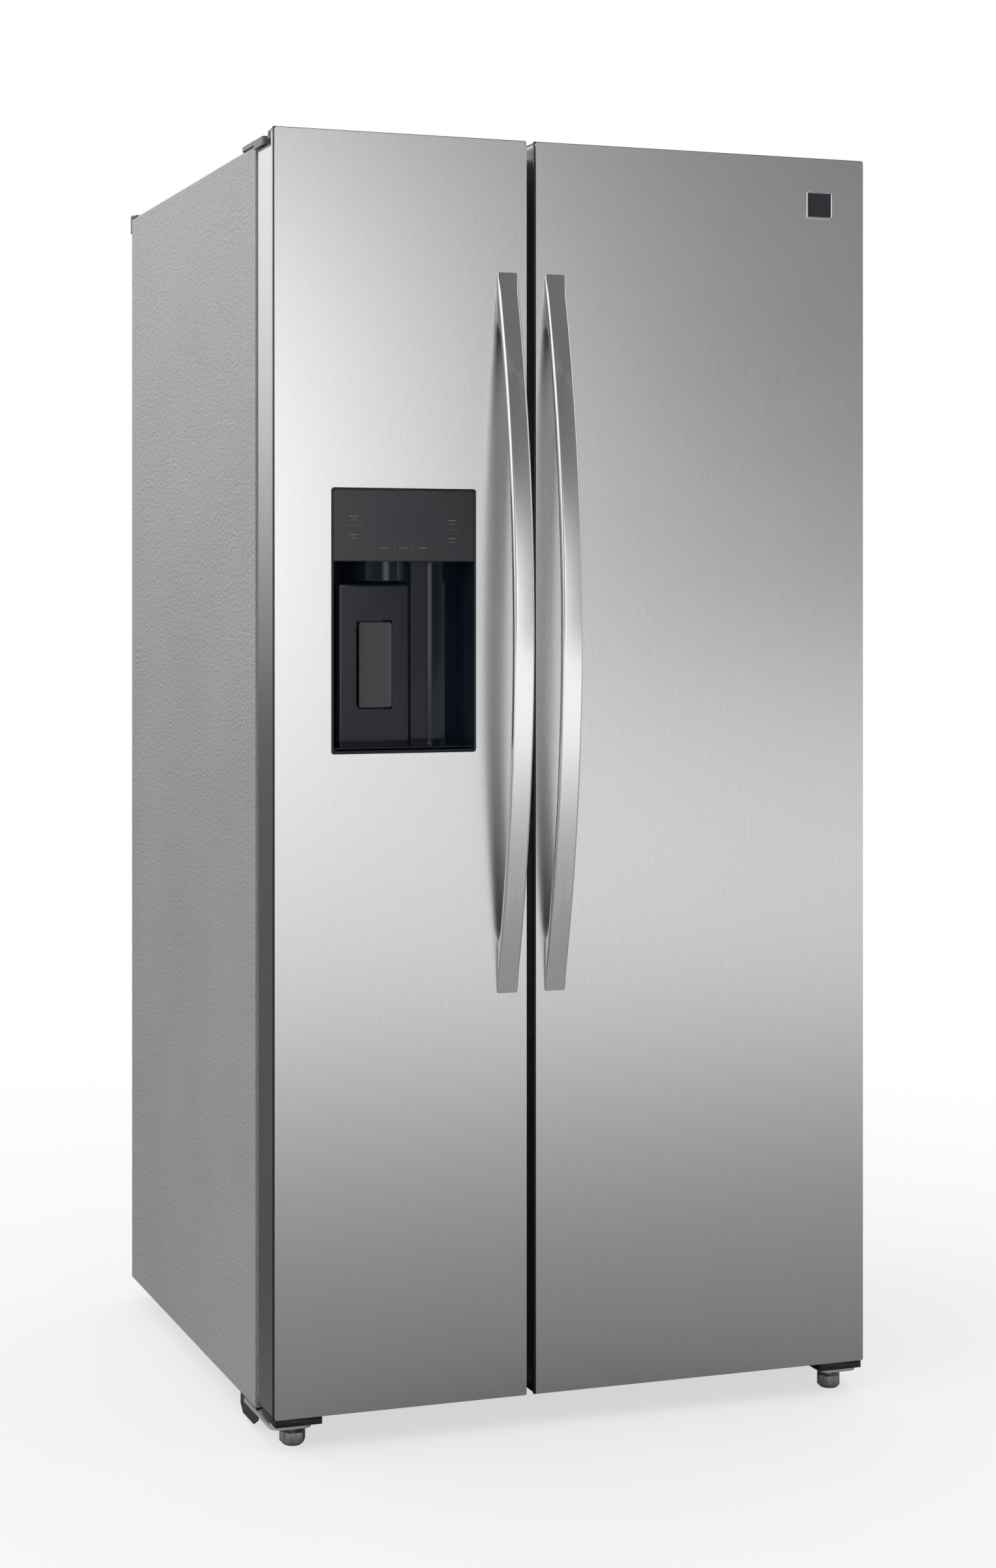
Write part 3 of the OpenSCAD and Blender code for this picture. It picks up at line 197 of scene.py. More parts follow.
def disc(bm, centre, r, h0, h1, axis="z", soft=0.0, seg=48):
    """A round bar or washer with softened rims."""
    s = min(soft, r * 0.5, (h1 - h0) * 0.45)
    lathe(bm, centre, [(0, h0), (r - s, h0), (r - 0.3 * s, h0 + 0.3 * s), (r, h0 + s), (r, h1 - s),
                       (r - 0.3 * s, h1 - 0.3 * s), (r - s, h1), (0, h1)], axis, seg)


def tub(bm, lo, hi, wall, corner, draft=0.0, lip=0.0, n=5):
    """An open-topped tub with round corners, sloping walls and a rolled lip."""
    lo, hi = Vector(lo), Vector(hi)
    base = min(corner, 8 * MM)

    def ring(z, inset, r):
        return [Vector((x, y, z)) for x, y in
                rounded(lo.x + inset, lo.y + inset, hi.x - inset, hi.y - inset, max(r, 1 * MM), n)]

    d = draft + lip
    rings = [ring(lo.z, d + base, corner), ring(lo.z + base * 0.3, d + base * 0.3, corner),
             ring(lo.z + base, d, corner), ring(hi.z - 4 * MM, lip, corner)]
    if lip:
        rings += [ring(hi.z - 4 * MM, 0, corner + lip)]
    rings += [ring(hi.z - 1 * MM, 0, corner + lip), ring(hi.z, 1 * MM, corner + lip)]
    inner = lip + wall
    rings += [ring(hi.z, inner - 0.8 * MM, corner), ring(hi.z - 1 * MM, inner, corner),
              ring(lo.z + base + wall, d + wall, corner - wall),
              ring(lo.z + base * 0.3 + wall, d + base * 0.3 + wall, corner - wall),
              ring(lo.z + wall, d + base + wall, corner - wall)]
    loft(bm, rings)


def boolean(me, cutter):
    """The mesh with another cut out of it."""
    objs = [bpy.data.objects.new("work", m) for m in (me, cutter)]
    for o in objs:
        bpy.context.scene.collection.objects.link(o)
    mod = objs[0].modifiers.new("cut", "BOOLEAN")
    mod.object, mod.operation, mod.solver = objs[1], "DIFFERENCE", "EXACT"
    bpy.context.view_layer.update()
    out = bpy.data.meshes.new_from_object(objs[0].evaluated_get(
        bpy.context.evaluated_depsgraph_get()))
    for o in objs:
        bpy.data.objects.remove(o)
    return out


def shape(build):
    """A mesh made by a function that fills a bmesh."""
    bm = bmesh.new()
    build(bm)
    me = bpy.data.meshes.new("mesh")
    bm.to_mesh(me)
    bm.free()
    return me


def piece(name, me, body, mat, replaces=(), angle=32):
    """Makes a mesh a piece of the object: it rides on a body and may stand for CAD nodes."""
    if callable(me):
        me = shape(me)
    me.name = name
    obj = bpy.data.objects.new(name, me)
    bpy.context.scene.collection.objects.link(obj)
    me.materials.clear()
    me.materials.append(mat)
    me.shade_smooth()
    me.set_sharp_from_angle(angle=math.radians(angle))
    flat = obj.modifiers.new("flat faces", "WEIGHTED_NORMAL")
    flat.keep_sharp, flat.weight = True, 50
    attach(obj, body)
    if replaces:
        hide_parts(*([replaces] if isinstance(replaces, str) else replaces))
    return obj


def keep(node, mat, r=0.8 * MM, seg=2, angle=35):
    """A CAD node that stays: its edges are softened and it gets a material."""
    obj = NODES[node]
    obj.data.materials.clear()
    obj.data.materials.append(mat)
    weld = obj.modifiers.new("weld", "WELD")
    weld.merge_threshold = 0.00002
    if r > 0:
        bev = obj.modifiers.new("soft edges", "BEVEL")
        bev.width, bev.segments, bev.limit_method = r, seg, "ANGLE"
        bev.angle_limit = math.radians(angle)
        bev.harden_normals = True
    obj.data.shade_smooth()
    obj.data.set_sharp_from_angle(angle=math.radians(angle))


# ---- materials ----

def nodes_of(name, colour, rough, metal=0.0, **sockets):
    m = bpy.data.materials.new(name)
    m.use_nodes = True
    bsdf = m.node_tree.nodes["Principled BSDF"]
    bsdf.inputs["Base Color"].default_value = (*colour, 1)
    bsdf.inputs["Roughness"].default_value = rough
    bsdf.inputs["Metallic"].default_value = metal
    for k, v in sockets.items():
        bsdf.inputs[k].default_value = v
    return m, m.node_tree, bsdf


def noise(nt, scale, size=1.0, detail=3.0, rough=0.5):
    """A noise pattern in object space, stretched by scale along each axis."""
    co = nt.nodes.new("ShaderNodeTexCoord")
    mp = nt.nodes.new("ShaderNodeMapping")
    mp.inputs["Scale"].default_value = scale
    tex = nt.nodes.new("ShaderNodeTexNoise")
    tex.inputs["Scale"].default_value = size
    tex.inputs["Detail"].default_value = detail
    tex.inputs["Roughness"].default_value = rough
    nt.links.new(co.outputs["Object"], mp.inputs["Vector"])
    nt.links.new(mp.outputs["Vector"], tex.inputs["Vector"])
    return tex.outputs["Fac"]


def spread(nt, fac, low, high, a=0.3, b=0.7):
    """Maps a pattern to numbers between low and high."""
    mr = nt.nodes.new("ShaderNodeMapRange")
    for k, v in zip(("From Min", "From Max", "To Min", "To Max"), (a, b, low, high)):
        mr.inputs[k].default_value = v
    nt.links.new(fac, mr.inputs["Value"])
    return mr.outputs["Result"]


def tint(nt, fac, dark, light, a=0.3, b=0.7):
    """Maps a pattern to a colour between dark and light."""
    ramp = nt.nodes.new("ShaderNodeValToRGB")
    ramp.color_ramp.elements[0].position, ramp.color_ramp.elements[1].position = a, b
    ramp.color_ramp.elements[0].color = (*dark, 1)
    ramp.color_ramp.elements[1].color = (*light, 1)
    nt.links.new(fac, ramp.inputs["Fac"])
    return ramp.outputs["Color"]


def emboss(nt, bsdf, fac, strength, depth, under=None):
    """Adds a pattern as fine relief."""
    bump = nt.nodes.new("ShaderNodeBump")
    bump.inputs["Strength"].default_value = strength
    bump.inputs["Distance"].default_value = depth
    nt.links.new(fac, bump.inputs["Height"])
    if under is not None:
        nt.links.new(under, bump.inputs["Normal"])
    nt.links.new(bump.outputs["Normal"], bsdf.inputs["Normal"])
    return bump.outputs["Normal"]


def shade(colour, k):
    return tuple(min(1.0, c * k) for c in colour)


def moulded(name, colour, rough, grain=900, vary=0.05, relief=0.15, depth=0.0002, metal=0.0,
            soft=6.0, **sockets):
    """A moulded or painted surface: fine grain in its relief and a slow drift of tone and gloss."""
    m, nt, bsdf = nodes_of(name, colour, rough, metal, **sockets)
    fine = noise(nt, (grain,) * 3, detail=2)
    slow = noise(nt, (soft,) * 3, detail=4)
    nt.links.new(tint(nt, slow, shade(colour, 1 - vary), shade(colour, 1 + vary)),
                 bsdf.inputs["Base Color"])
    nt.links.new(spread(nt, slow, max(0.02, rough * 0.88), min(1, rough * 1.12)),
                 bsdf.inputs["Roughness"])
    emboss(nt, bsdf, fine, relief, depth)
    return m


def brushed(name, colour, rough, along="z", vary=0.035, relief=0.02, aniso=0.6):
    """Brushed metal: short fine streaks along one axis, in tone, gloss and relief."""
    m, nt, bsdf = nodes_of(name, colour, rough, 1.0, Anisotropic=aniso)

    def streaks(width, length):
        a, b = 1 / width, 1 / length
        scale = {"z": (a, a, b), "x": (b, a, a), "y": (a, b, a)}[along]
        return noise(nt, scale, detail=2, rough=0.6)
    grain = streaks(0.0013, 0.012)
    hair = streaks(0.0005, 0.05)
    slow = noise(nt, (2.5,) * 3, detail=3)
    both = nt.nodes.new("ShaderNodeMath")
    both.operation = "ADD"
    nt.links.new(grain, both.inputs[0])
    nt.links.new(hair, both.inputs[1])
    nt.links.new(tint(nt, spread(nt, both.outputs[0], 0, 1, 0.7, 1.3), shade(colour, 1 - vary),
                      shade(colour, 1 + vary), 0, 1), bsdf.inputs["Base Color"])
    mixed = nt.nodes.new("ShaderNodeMath")
    mixed.operation = "ADD"
    nt.links.new(spread(nt, both.outputs[0], -0.006, 0.006, 0.7, 1.3), mixed.inputs[0])
    nt.links.new(spread(nt, slow, rough * 0.97, rough * 1.03), mixed.inputs[1])
    nt.links.new(mixed.outputs[0], bsdf.inputs["Roughness"])
    tangent = nt.nodes.new("ShaderNodeTangent")
    tangent.direction_type, tangent.axis = "RADIAL", "Z"
    nt.links.new(tangent.outputs["Tangent"], bsdf.inputs["Tangent"])
    emboss(nt, bsdf, both.outputs[0], relief, 0.00003)
    return m


def cells(nt, size, feature="F1"):
    co = nt.nodes.new("ShaderNodeTexCoord")
    tex = nt.nodes.new("ShaderNodeTexVoronoi")
    tex.feature = feature
    tex.inputs["Scale"].default_value = size
    nt.links.new(co.outputs["Object"], tex.inputs["Vector"])
    return tex


def grained_paint(name, colour, rough):
    """Cabinet paint with an embossed leather-like grain."""
    m, nt, bsdf = nodes_of(name, colour, rough, 0.0)
    pores = cells(nt, 230, "SMOOTH_F1").outputs["Distance"]
    folds = noise(nt, (150,) * 3, detail=3)
    slow = noise(nt, (5,) * 3, detail=3)
    nt.links.new(tint(nt, slow, shade(colour, 0.96), shade(colour, 1.04)),
                 bsdf.inputs["Base Color"])
    nt.links.new(spread(nt, folds, rough * 0.85, rough * 1.15), bsdf.inputs["Roughness"])
    under = emboss(nt, bsdf, folds, 0.45, 0.0015)
    emboss(nt, bsdf, pores, 0.65, 0.0015, under)
    return m


def galvanised(name, colour):
    """Zinc-coated sheet with its spangle."""
    m, nt, bsdf = nodes_of(name, colour, 0.38, 0.9)
    flakes = cells(nt, 90)
    grey = nt.nodes.new("ShaderNodeRGBToBW")
    nt.links.new(flakes.outputs["Color"], grey.inputs["Color"])
    nt.links.new(tint(nt, grey.outputs["Val"], shade(colour, 0.86), shade(colour, 1.1), 0, 1),
                 bsdf.inputs["Base Color"])
    nt.links.new(spread(nt, grey.outputs["Val"], 0.3, 0.46, 0, 1), bsdf.inputs["Roughness"])
    emboss(nt, bsdf, noise(nt, (700,) * 3), 0.1, 0.0002)
    return m


STEEL = brushed("steel_front", (0.60, 0.60, 0.605), 0.26, aniso=0.2)
STEEL_SIDE = brushed("steel_side", (0.46, 0.46, 0.47), 0.28)
HANDLE = brushed("handle_steel", (0.74, 0.74, 0.745), 0.20, vary=0.02, relief=0.02)
PAINT = grained_paint("cabinet_paint", (0.40, 0.40, 0.41), 0.45)
ZINC = galvanised("zinc_sheet", (0.60, 0.61, 0.62))
PLATED = moulded("plated_steel", (0.76, 0.76, 0.78), 0.28, metal=0.6, relief=0.08)
BLACK = moulded("black_plastic", (0.018, 0.018, 0.02), 0.42, relief=0.12)
RUBBER = moulded("seal_rubber", (0.030, 0.030, 0.033), 0.62, grain=500, relief=0.2)
COVER = moulded("cover_plastic", (0.160, 0.150, 0.180), 0.45, grain=700, relief=0.22)
DARK = moulded("dark_metal", (0.055, 0.055, 0.06), 0.4, metal=0.5)
SHELL = moulded("liner_plastic", (0.80, 0.81, 0.82), 0.28, vary=0.02, relief=0.06)
MACHINE = moulded("black_enamel", (0.015, 0.015, 0.018), 0.22, **{"Coat Weight": 0.6})
WHITE = moulded("white_plastic", (0.72, 0.72, 0.70), 0.42, vary=0.03)
ALU = moulded("aluminium", (0.72, 0.73, 0.75), 0.33, metal=1.0, grain=1500)
FOAM = moulded("foam", (0.80, 0.70, 0.42), 0.9, grain=260, vary=0.12, relief=0.5, depth=0.001)
FOOT = moulded("foot_metal", (0.36, 0.36, 0.38), 0.36, metal=0.5, vary=0.1)
CHROME = moulded("chrome", (0.78, 0.78, 0.80), 0.08, metal=1.0, relief=0.02)
GLOSS = moulded("gloss_black", (0.011, 0.016, 0.029), 0.12, vary=0.15, relief=0.02, grain=300,
                **{"Specular IOR Level": 0.20, "Coat Weight": 0.10, "Coat Roughness": 0.04})
SATIN = moulded("satin_grey", (0.050, 0.054, 0.062), 0.30, vary=0.06, relief=0.03,
                **{"Specular IOR Level": 0.4})
GLASS_DARK = moulded("panel_glass", (0.040, 0.037, 0.044), 0.12, vary=0.08, relief=0.015, grain=200,
                     **{"Specular IOR Level": 0.2, "Coat Weight": 0.15, "Coat Roughness": 0.03})
WINDOW = moulded("display_window", (0.032, 0.033, 0.044), 0.11, relief=0.01, grain=200,
                 **{"Specular IOR Level": 0.3})
MARK = moulded("printed_mark", (0.15, 0.15, 0.16), 0.5)
LENS = moulded("lamp_lens", (0.93, 0.94, 0.90), 0.3, **{"Emission Strength": 0.4})
LENS.node_tree.nodes["Principled BSDF"].inputs["Emission Color"].default_value = (1, 0.97, 0.9, 1)
CLEAR = moulded("clear_plastic", (0.86, 0.92, 0.95), 0.08, vary=0.02, relief=0.03,
                **{"Transmission Weight": 0.85, "IOR": 1.45})
GLASS = moulded("shelf_glass", (0.86, 0.94, 0.92), 0.03, vary=0.01, relief=0.01,
                **{"Transmission Weight": 0.95, "IOR": 1.5})


# ---- cabinet ----

def cabinet(bm):
    """The bent sheet over the sides and the top, with its front and rear flanges."""
    lo, hi = CAB
    r, flange = 4 * MM, 24 * MM
    outer = rounded(lo.x, lo.z, hi.x, hi.z, [0, 0, r, r])
    inner = rounded(lo.x + SHEET, lo.z - 1 * MM, hi.x - SHEET, hi.z - SHEET, [0, 0, r, r])
    path = outer[1:] + outer[:1]
    back = inner[1:] + inner[:1]
    section = path + [(u, max(v, lo.z)) for u, v in reversed(back)]
    plate(bm, [section], lo.y + 0.6 * MM, hi.y - 0.6 * MM, 0)
    rim = rounded(lo.x, lo.z, hi.x, hi.z, [0, 0, r, r])
    mouth = rounded(lo.x + flange, lo.z + flange, hi.x - flange, hi.z - flange, 3 * MM)
    plate(bm, [rim, mouth], lo.y, lo.y + SHEET, 0.5 * MM, both=False)
    rear = rounded(lo.x + flange, lo.z + 0.2 * MM, hi.x - flange, hi.z - flange, 3 * MM)
    plate(bm, [rim, rear], hi.y - SHEET, hi.y, 0.5 * MM)


piece("cabinet_sheet", cabinet, "cabinet", PAINT, "cabinet_shell")


def relief(bm, x0, x1, z0, z1, y, depth, out, nx, nz, thick):
    """An upright sheet whose outer face stands out by depth(u, v); u and v run from 0 to 1."""
    front, rear = [], []
    for j in range(nz + 1):
        v = j / nz
        for i in range(nx + 1):
            u = i / nx
            p = Vector((x0 + (x1 - x0) * u, y + out * depth(u, v), z0 + (z1 - z0) * v))
            front.append(p)
            rear.append(p - Vector((0, out * thick, 0)))
    part = bmesh.new()
    fv, rv = [part.verts.new(p) for p in front], [part.verts.new(p) for p in rear]
    w = nx + 1
    for j in range(nz):
        for i in range(nx):
            a = j * w + i
            part.faces.new((fv[a], fv[a + 1], fv[a + 1 + w], fv[a + w]))
            part.faces.new((rv[a + w], rv[a + 1 + w], rv[a + 1], rv[a]))
    edge = ([k for k in range(nx)] + [nx + j * w for j in range(nz)]
            + [nz * w + nx - k for k in range(nx)] + [(nz - j) * w for j in range(nz)])
    for k, a in enumerate(edge):
        b = edge[(k + 1) % len(edge)]
        part.faces.new((fv[b], fv[a], rv[a], rv[b]))
    bmesh.ops.recalc_face_normals(part, faces=part.faces[:])
    merge(bm, part)


def ease(x, a, b):
    t = min(1, max(0, (x - a) / (b - a)))
    return t * t * (3 - 2 * t)


def back_ribs(u, v):
    """Embossed fields of the rear sheet."""
    k = (u * 5) % 1
    across = ease(k, 0.16, 0.22) * (1 - ease(k, 0.78, 0.84))
    along = ease(v, 0.04, 0.055) * (1 - ease(v, 0.93, 0.945))
    return 3 * MM * across * along


lo, hi = BOX["back_panel"]
piece("back_sheet", lambda bm: relief(bm, CAB[0].x + SHEET, CAB[1].x - SHEET, lo.z, hi.z,
                                      CAB[1].y - SHEET - 0.2 * MM, back_ribs, 1, 200, 240, SHEET),
      "cabinet", ZINC, "back_panel", angle=50)


def room(bm, node):
    """A compartment's liner: rounded inside corners, a stepped floor and a rim round its mouth."""
    lo, hi = BOX[node]
    cav = ROOMS[node]
    part = bmesh.new()
    side = [(cav[0].y - 4 * MM, cav[0].z), (cav[2], cav[0].z), (cav[2], cav[3]), (cav[1].y, cav[3]),
            (cav[1].y, cav[1].z), (cav[0].y - 4 * MM, cav[1].z)]
    walls = [[part.verts.new((x, y, z)) for y, z in side] for x in (cav[0].x, cav[1].x)]
    n = len(side)
    part.faces.new(list(reversed(walls[0])))
    part.faces.new(walls[1])
    for i in range(n - 1):
        part.faces.new((walls[0][i], walls[0][i + 1], walls[1][i + 1], walls[1][i]))
    round_edges(part, 14 * MM, 4, keep=lambda e: not all(
        v.co.y < cav[0].y - 3 * MM for v in e.verts))
    bmesh.ops.recalc_face_normals(part, faces=part.faces[:])
    mid = (cav[0] + cav[1]) / 2
    wall = max(part.faces, key=lambda f: f.calc_area())
    if wall.normal.dot(wall.calc_center_median() - mid) > 0:
        bmesh.ops.reverse_faces(part, faces=part.faces[:])
    for v in part.verts:
        v.co.y = max(v.co.y, lo.y + 0.3 * MM)
    bmesh.ops.solidify(part, geom=part.faces[:], thickness=LINER)
    merge(bm, part)
    mouth = rounded(cav[0].x, cav[0].z, cav[1].x, cav[1].z, 13 * MM)
    rim = rounded(lo.x, lo.z, hi.x, hi.z, 3 * MM)
    plate(bm, [rim, mouth], lo.y, lo.y + LINER, 0.8 * MM, both=False)


def cavity(node):
    """Inside corners of a compartment and the place of its floor's step, from the frame."""
    lo, cover = BOX[node][0], BOX["evaporator_cover"]
    left = node == "freezer_liner"
    x0 = cover[0].x if left else lo.x + 6 * MM
    x1 = cover[1].x if left else BOX["shelf_frames"][1].x
    z0 = BOX["crisper_lower"][0].z - 3 * MM
    return (Vector((x0, lo.y, z0)), Vector((x1, cover[1].y, BOX["interior_lights"][1].z)),
            BOX["crisper_lower"][1].y + 8 * MM, cover[0].z)


ROOMS = {n: cavity(n) for n in ("freezer_liner", "fridge_liner")}
for node in ROOMS:
    piece(node + "_shell", lambda bm: room(bm, node), "cabinet", SHELL, node)


# ---- doors ----

def door_front(bm, box, hole=None):
    """The steel pan of a door: flat, with rounded rims."""
    lo, hi = box
    loops = [rounded(lo.x, lo.z + 0.5 * MM, hi.x, hi.z - 0.6 * MM, 2.5 * MM)]
    if hole:
        loops.append(rounded(*hole, 4 * MM))
    plate(bm, loops, lo.y, hi.y, 2 * MM, 4, both=False)


HOLE = (HOUSING[0].x - 0.2 * MM, HOUSING[0].z - 0.2 * MM, HOUSING[1].x + 0.2 * MM,
        HOUSING[1].z + 0.2 * MM)


def door_wrap(skin, side):
    """The steel sides of a door and its insulated core, cut away at the top hinge."""
    lo, hi = Vector((skin[0].x, WALL_Y, skin[0].z + CAP - 1 * MM)), skin[1].copy()
    hi.y, hi.z = DOOR_BACK, skin[1].z - CAP + 1 * MM
    me = shape(lambda bm: block(bm, lo, hi, 2 * MM, keep=lambda e: abs(
        e.verts[0].co.z - e.verts[1].co.z) > 0.5 and e.verts[0].co.y > WALL_Y + 1 * MM))
    edge = lo.x if side < 0 else hi.x
    top = DOOR_TOP - NOTCH.z
    me = boolean(me, shape(lambda bm: block(
        bm, (edge + side * 0.01, FACE_Y + NOTCH.y, top), (edge - side * NOTCH.x, hi.y + 0.1, 2.0))))
    return me


for name, skin, side in (("freezer", SKIN_L, -1), ("fridge", SKIN_R, 1)):
    body = name + "_door"
    hole = HOLE if name == "freezer" else None
    piece(f"{name}_front_sheet", lambda bm: door_front(bm, skin, hole), body, STEEL,
          f"{name}_door_skin")
    wrap = door_wrap(skin, side)
    if hole:
        wrap = boolean(wrap, shape(lambda bm: block(
            bm, (HOLE[0], FACE_Y - 0.1, HOLE[1]), (HOLE[2], DOOR_BACK + 0.1, HOLE[3]))))
        wrap = boolean(wrap, shape(lambda bm: block(
            bm, (CHUTE[0].x - 1 * MM, CHUTE[0].y - 1 * MM, HOLE[3] - 5 * MM),
            (CHUTE[1].x + 1 * MM, DOOR_BACK + 0.1, BOX["ice_bucket"][0].z - 4 * MM))))
    piece(f"{name}_side_sheet", wrap, body, STEEL_SIDE, f"{name}_door_body")
    keep(f"{name}_door_frame", BLACK, 0.5 * MM)
    keep(f"{name}_door_liner", SHELL, 2.5 * MM, 3)


def bellows(bm, box):
    """A magnetic door seal: a flat foot, a folded bellows and the soft magnet pad."""
    lo, hi = box
    w, d = 17 * MM, hi.y - lo.y
    path = rounded(lo.x + w / 2, lo.z + w / 2, hi.x - w / 2, hi.z - w / 2, 6 * MM)
    outer = [(-8.3, 0), (8.3, 0), (8.3, 0.12), (5.2, 0.2), (7.6, 0.36), (5.0, 0.5), (7.8, 0.64),
             (8.4, 0.72), (8.4, 0.94), (7.6, 1.0), (-7.6, 1.0), (-8.4, 0.94), (-8.4, 0.72),
             (-7.8, 0.64), (-5.0, 0.5), (-7.6, 0.36), (-5.2, 0.2), (-8.3, 0.12)]
    sweep(bm, path, [(o * MM, lo.y + t * d) for o, t in outer])


for name in ("freezer", "fridge"):
    node = f"{name}_door_gasket"
    piece(f"{name}_seal", lambda bm: bellows(bm, BOX[node]), f"{name}_door", RUBBER, node)


def bowed_handle(bm, box):
    """A bowed bar: one long arc in front, a hand gap behind, both ends laid on the door."""
    lo, hi = box
    half, zc = (hi.z - lo.z) / 2, (hi.z + lo.z) / 2
    reach, tip, thick, foot, blendz = FACE_Y - lo.y, 2 * MM, 12 * MM, 78 * MM, 16 * MM
    sag = reach - tip
    r = (half * half + sag * sag) / (2 * sag)
    yc = lo.y + r
    grip = half - foot
    stations = 120
    rings = []
    for k in range(stations + 1):
        z = -half * math.cos(math.pi * k / stations)
        out = yc - math.sqrt(r * r - z * z)
        inner = yc - math.sqrt(max(0, (r - thick) ** 2 - z * z))
        on = ease(abs(z), grip - blendz * 0.4, grip + blendz * 0.6)
        back = min(FACE_Y, inner * (1 - on) + FACE_Y * on)
        t = back - out
        w = (hi.x - lo.x) / 2
        c = min(4.2 * MM, t * 0.48)
        x = (lo.x + hi.x) / 2
        end = 1 - 0.06 * ease(abs(z), half - 6 * MM, half)
        ring = []
        for sx, sy, a0 in ((1, 1, 0), (-1, 1, 90), (-1, -1, 180), (1, -1, 270)):
            for q in range(6):
                a = math.radians(a0 + 18 * q)
                cx = sx * (w * end - c)
                cy = (back - c) if sy > 0 else (out + c)
                ring.append(Vector((x + cx + c * math.cos(a), cy + c * math.sin(a), zc + z)))
        for p in ring:
            s = (p.x - x) / w
            if p.y < (out + back) / 2:
                p.y += 1.1 * MM * s * s * min(1, t / thick)
        rings.append(ring)
    loft(bm, rings)


for name in ("freezer", "fridge"):
    node = f"{name}_handle"
    piece(f"{name}_grip_bar", lambda bm: bowed_handle(bm, BOX[node]), f"{name}_door", HANDLE,
          node, angle=40)


# ---- dispenser ----
IN_X = (HOUSING[0].x + 3 * MM, HOUSING[1].x - 3 * MM)
RECESS_Y = HOUSING[1].y - 3 * MM if HOUSING[1].y < FACE_Y + 0.1 else FACE_Y + 95 * MM
FLOOR_Z = HOUSING[0].z + 3 * MM
CEIL_Z = PANEL[0].z - 1 * MM
MID = (CHUTE[0].x + CHUTE[1].x) / 2
PILLAR_Y = RECESS_Y - 15 * MM
PILLAR = 56 * MM                    # half the pillar's width
CORNER = 34 * MM                    # the recess's large corner
LEVER = 49 * MM                     # width of the paddle's plate
GAP = 2 * MM                        # round the paddle


def recess_outline(grow=0.0, front=FACE_Y - 4 * MM):
    """Plan of the recess: a small left corner and a large right one at the back."""
    return rounded(IN_X[0] + grow, front, IN_X[1] - grow, RECESS_Y - grow,
                   [0, 0, CORNER - grow, 7 * MM], 12)


def housing():
    lo, hi = HOUSING
    body = shape(lambda bm: plate(bm, [rounded(lo.x, lo.z, hi.x, hi.z, 4 * MM)],
                                  lo.y + 0.2 * MM, RECESS_Y + 3 * MM, 1 * MM, 3, both=False))

    def hollow(bm):
        part = bmesh.new()
        plate(part, [recess_outline()], FLOOR_Z, CEIL_Z, 0, to=LYING)
        round_edges(part, 5 * MM, 3, keep=lambda e: all(
            v.co.y > FACE_Y + 2 * MM for v in e.verts) and abs(
            e.verts[0].co.z - e.verts[1].co.z) < 1 * MM)
        merge(bm, part)
    body = boolean(body, shape(hollow))
    body = boolean(body, shape(lambda bm: block(
        bm, (IN_X[0], FACE_Y - 0.01, CEIL_Z + 0.5 * MM), (IN_X[1], FACE_Y + 0.012, hi.z - 3 * MM))))
    w = LEVER / 2 + GAP
    body = boolean(body, shape(lambda bm: block(
        bm, (MID - w, PILLAR_Y - 0.01, PADDLE[0].z - GAP), (MID + w, RECESS_Y + 0.1,
                                                            PADDLE[1].z + GAP))))
    body = boolean(body, shape(lambda bm: disc(
        bm, (MID, (CHUTE[0].y + CHUTE[1].y) / 2, 0), (CHUTE[1].x - CHUTE[0].x) / 2 + 0.3 * MM,
        CEIL_Z - 0.001, CHUTE[1].z + 0.01, seg=64)))
    return body


piece("dispenser_recess", housing(), "freezer_door", GLOSS,
      "dispenser_housing")


def pillar():
    me = shape(lambda bm: block(
        bm, (MID - PILLAR, PILLAR_Y, FLOOR_Z - 1 * MM), (MID + PILLAR, RECESS_Y + 1 * MM,
                                                         CEIL_Z - 27 * MM), 7 * MM, 5,
        keep=lambda e: e.verts[0].co.y < RECESS_Y and e.verts[1].co.y < RECESS_Y
        and max(v.co.z for v in e.verts) > FLOOR_Z + 1 * MM))
    w = LEVER / 2 + GAP
    return boolean(me, shape(lambda bm: block(
        bm, (MID - w, PILLAR_Y - 0.01, PADDLE[0].z - GAP), (MID + w, RECESS_Y + 0.1,
                                                            PADDLE[1].z + GAP), 3 * MM,
        keep=lambda e: abs(e.verts[0].co.y - e.verts[1].co.y) > 0.01)))


def pocket(bm):
    """The closed box behind the paddle."""
    w = LEVER / 2 + GAP
    z0, z1, y1 = PADDLE[0].z - GAP, PADDLE[1].z + GAP, PILLAR_Y + 22 * MM
    t = 2 * MM
    block(bm, (MID - w - t, RECESS_Y - 2 * MM, z0 - t), (MID - w, y1 + t, z1 + t))
    block(bm, (MID + w, RECESS_Y - 2 * MM, z0 - t), (MID + w + t, y1 + t, z1 + t))
    block(bm, (MID - w, y1, z0 - t), (MID + w, y1 + t, z1 + t))
    block(bm, (MID - w, RECESS_Y - 2 * MM, z0 - t), (MID + w, y1, z0))
    block(bm, (MID - w, RECESS_Y - 2 * MM, z1), (MID + w, y1, z1 + t))


piece("dispenser_pillar", pillar(), "freezer_door", GLOSS)
piece("paddle_pocket", pocket, "freezer_door", GLOSS)


def bezel(bm):
    """The thin frame that stands out round the dispenser."""
    lo, hi = HOUSING
    path = rounded(lo.x + 1.5 * MM, lo.z + 1.5 * MM, hi.x - 1.5 * MM, hi.z - 1.5 * MM, 3 * MM, 8)
    y = lo.y
    ring = [(1.5, 2.2), (1.5, 0.7), (1.1, 0.2), (0.5, 0), (-0.5, 0), (-1.2, 0.3), (-1.5, 0.9),
            (-1.5, 2.2)]
    sweep(bm, path, [(o * MM, y + t * MM) for o, t in ring])


piece("dispenser_bezel", bezel, "freezer_door", GLOSS)


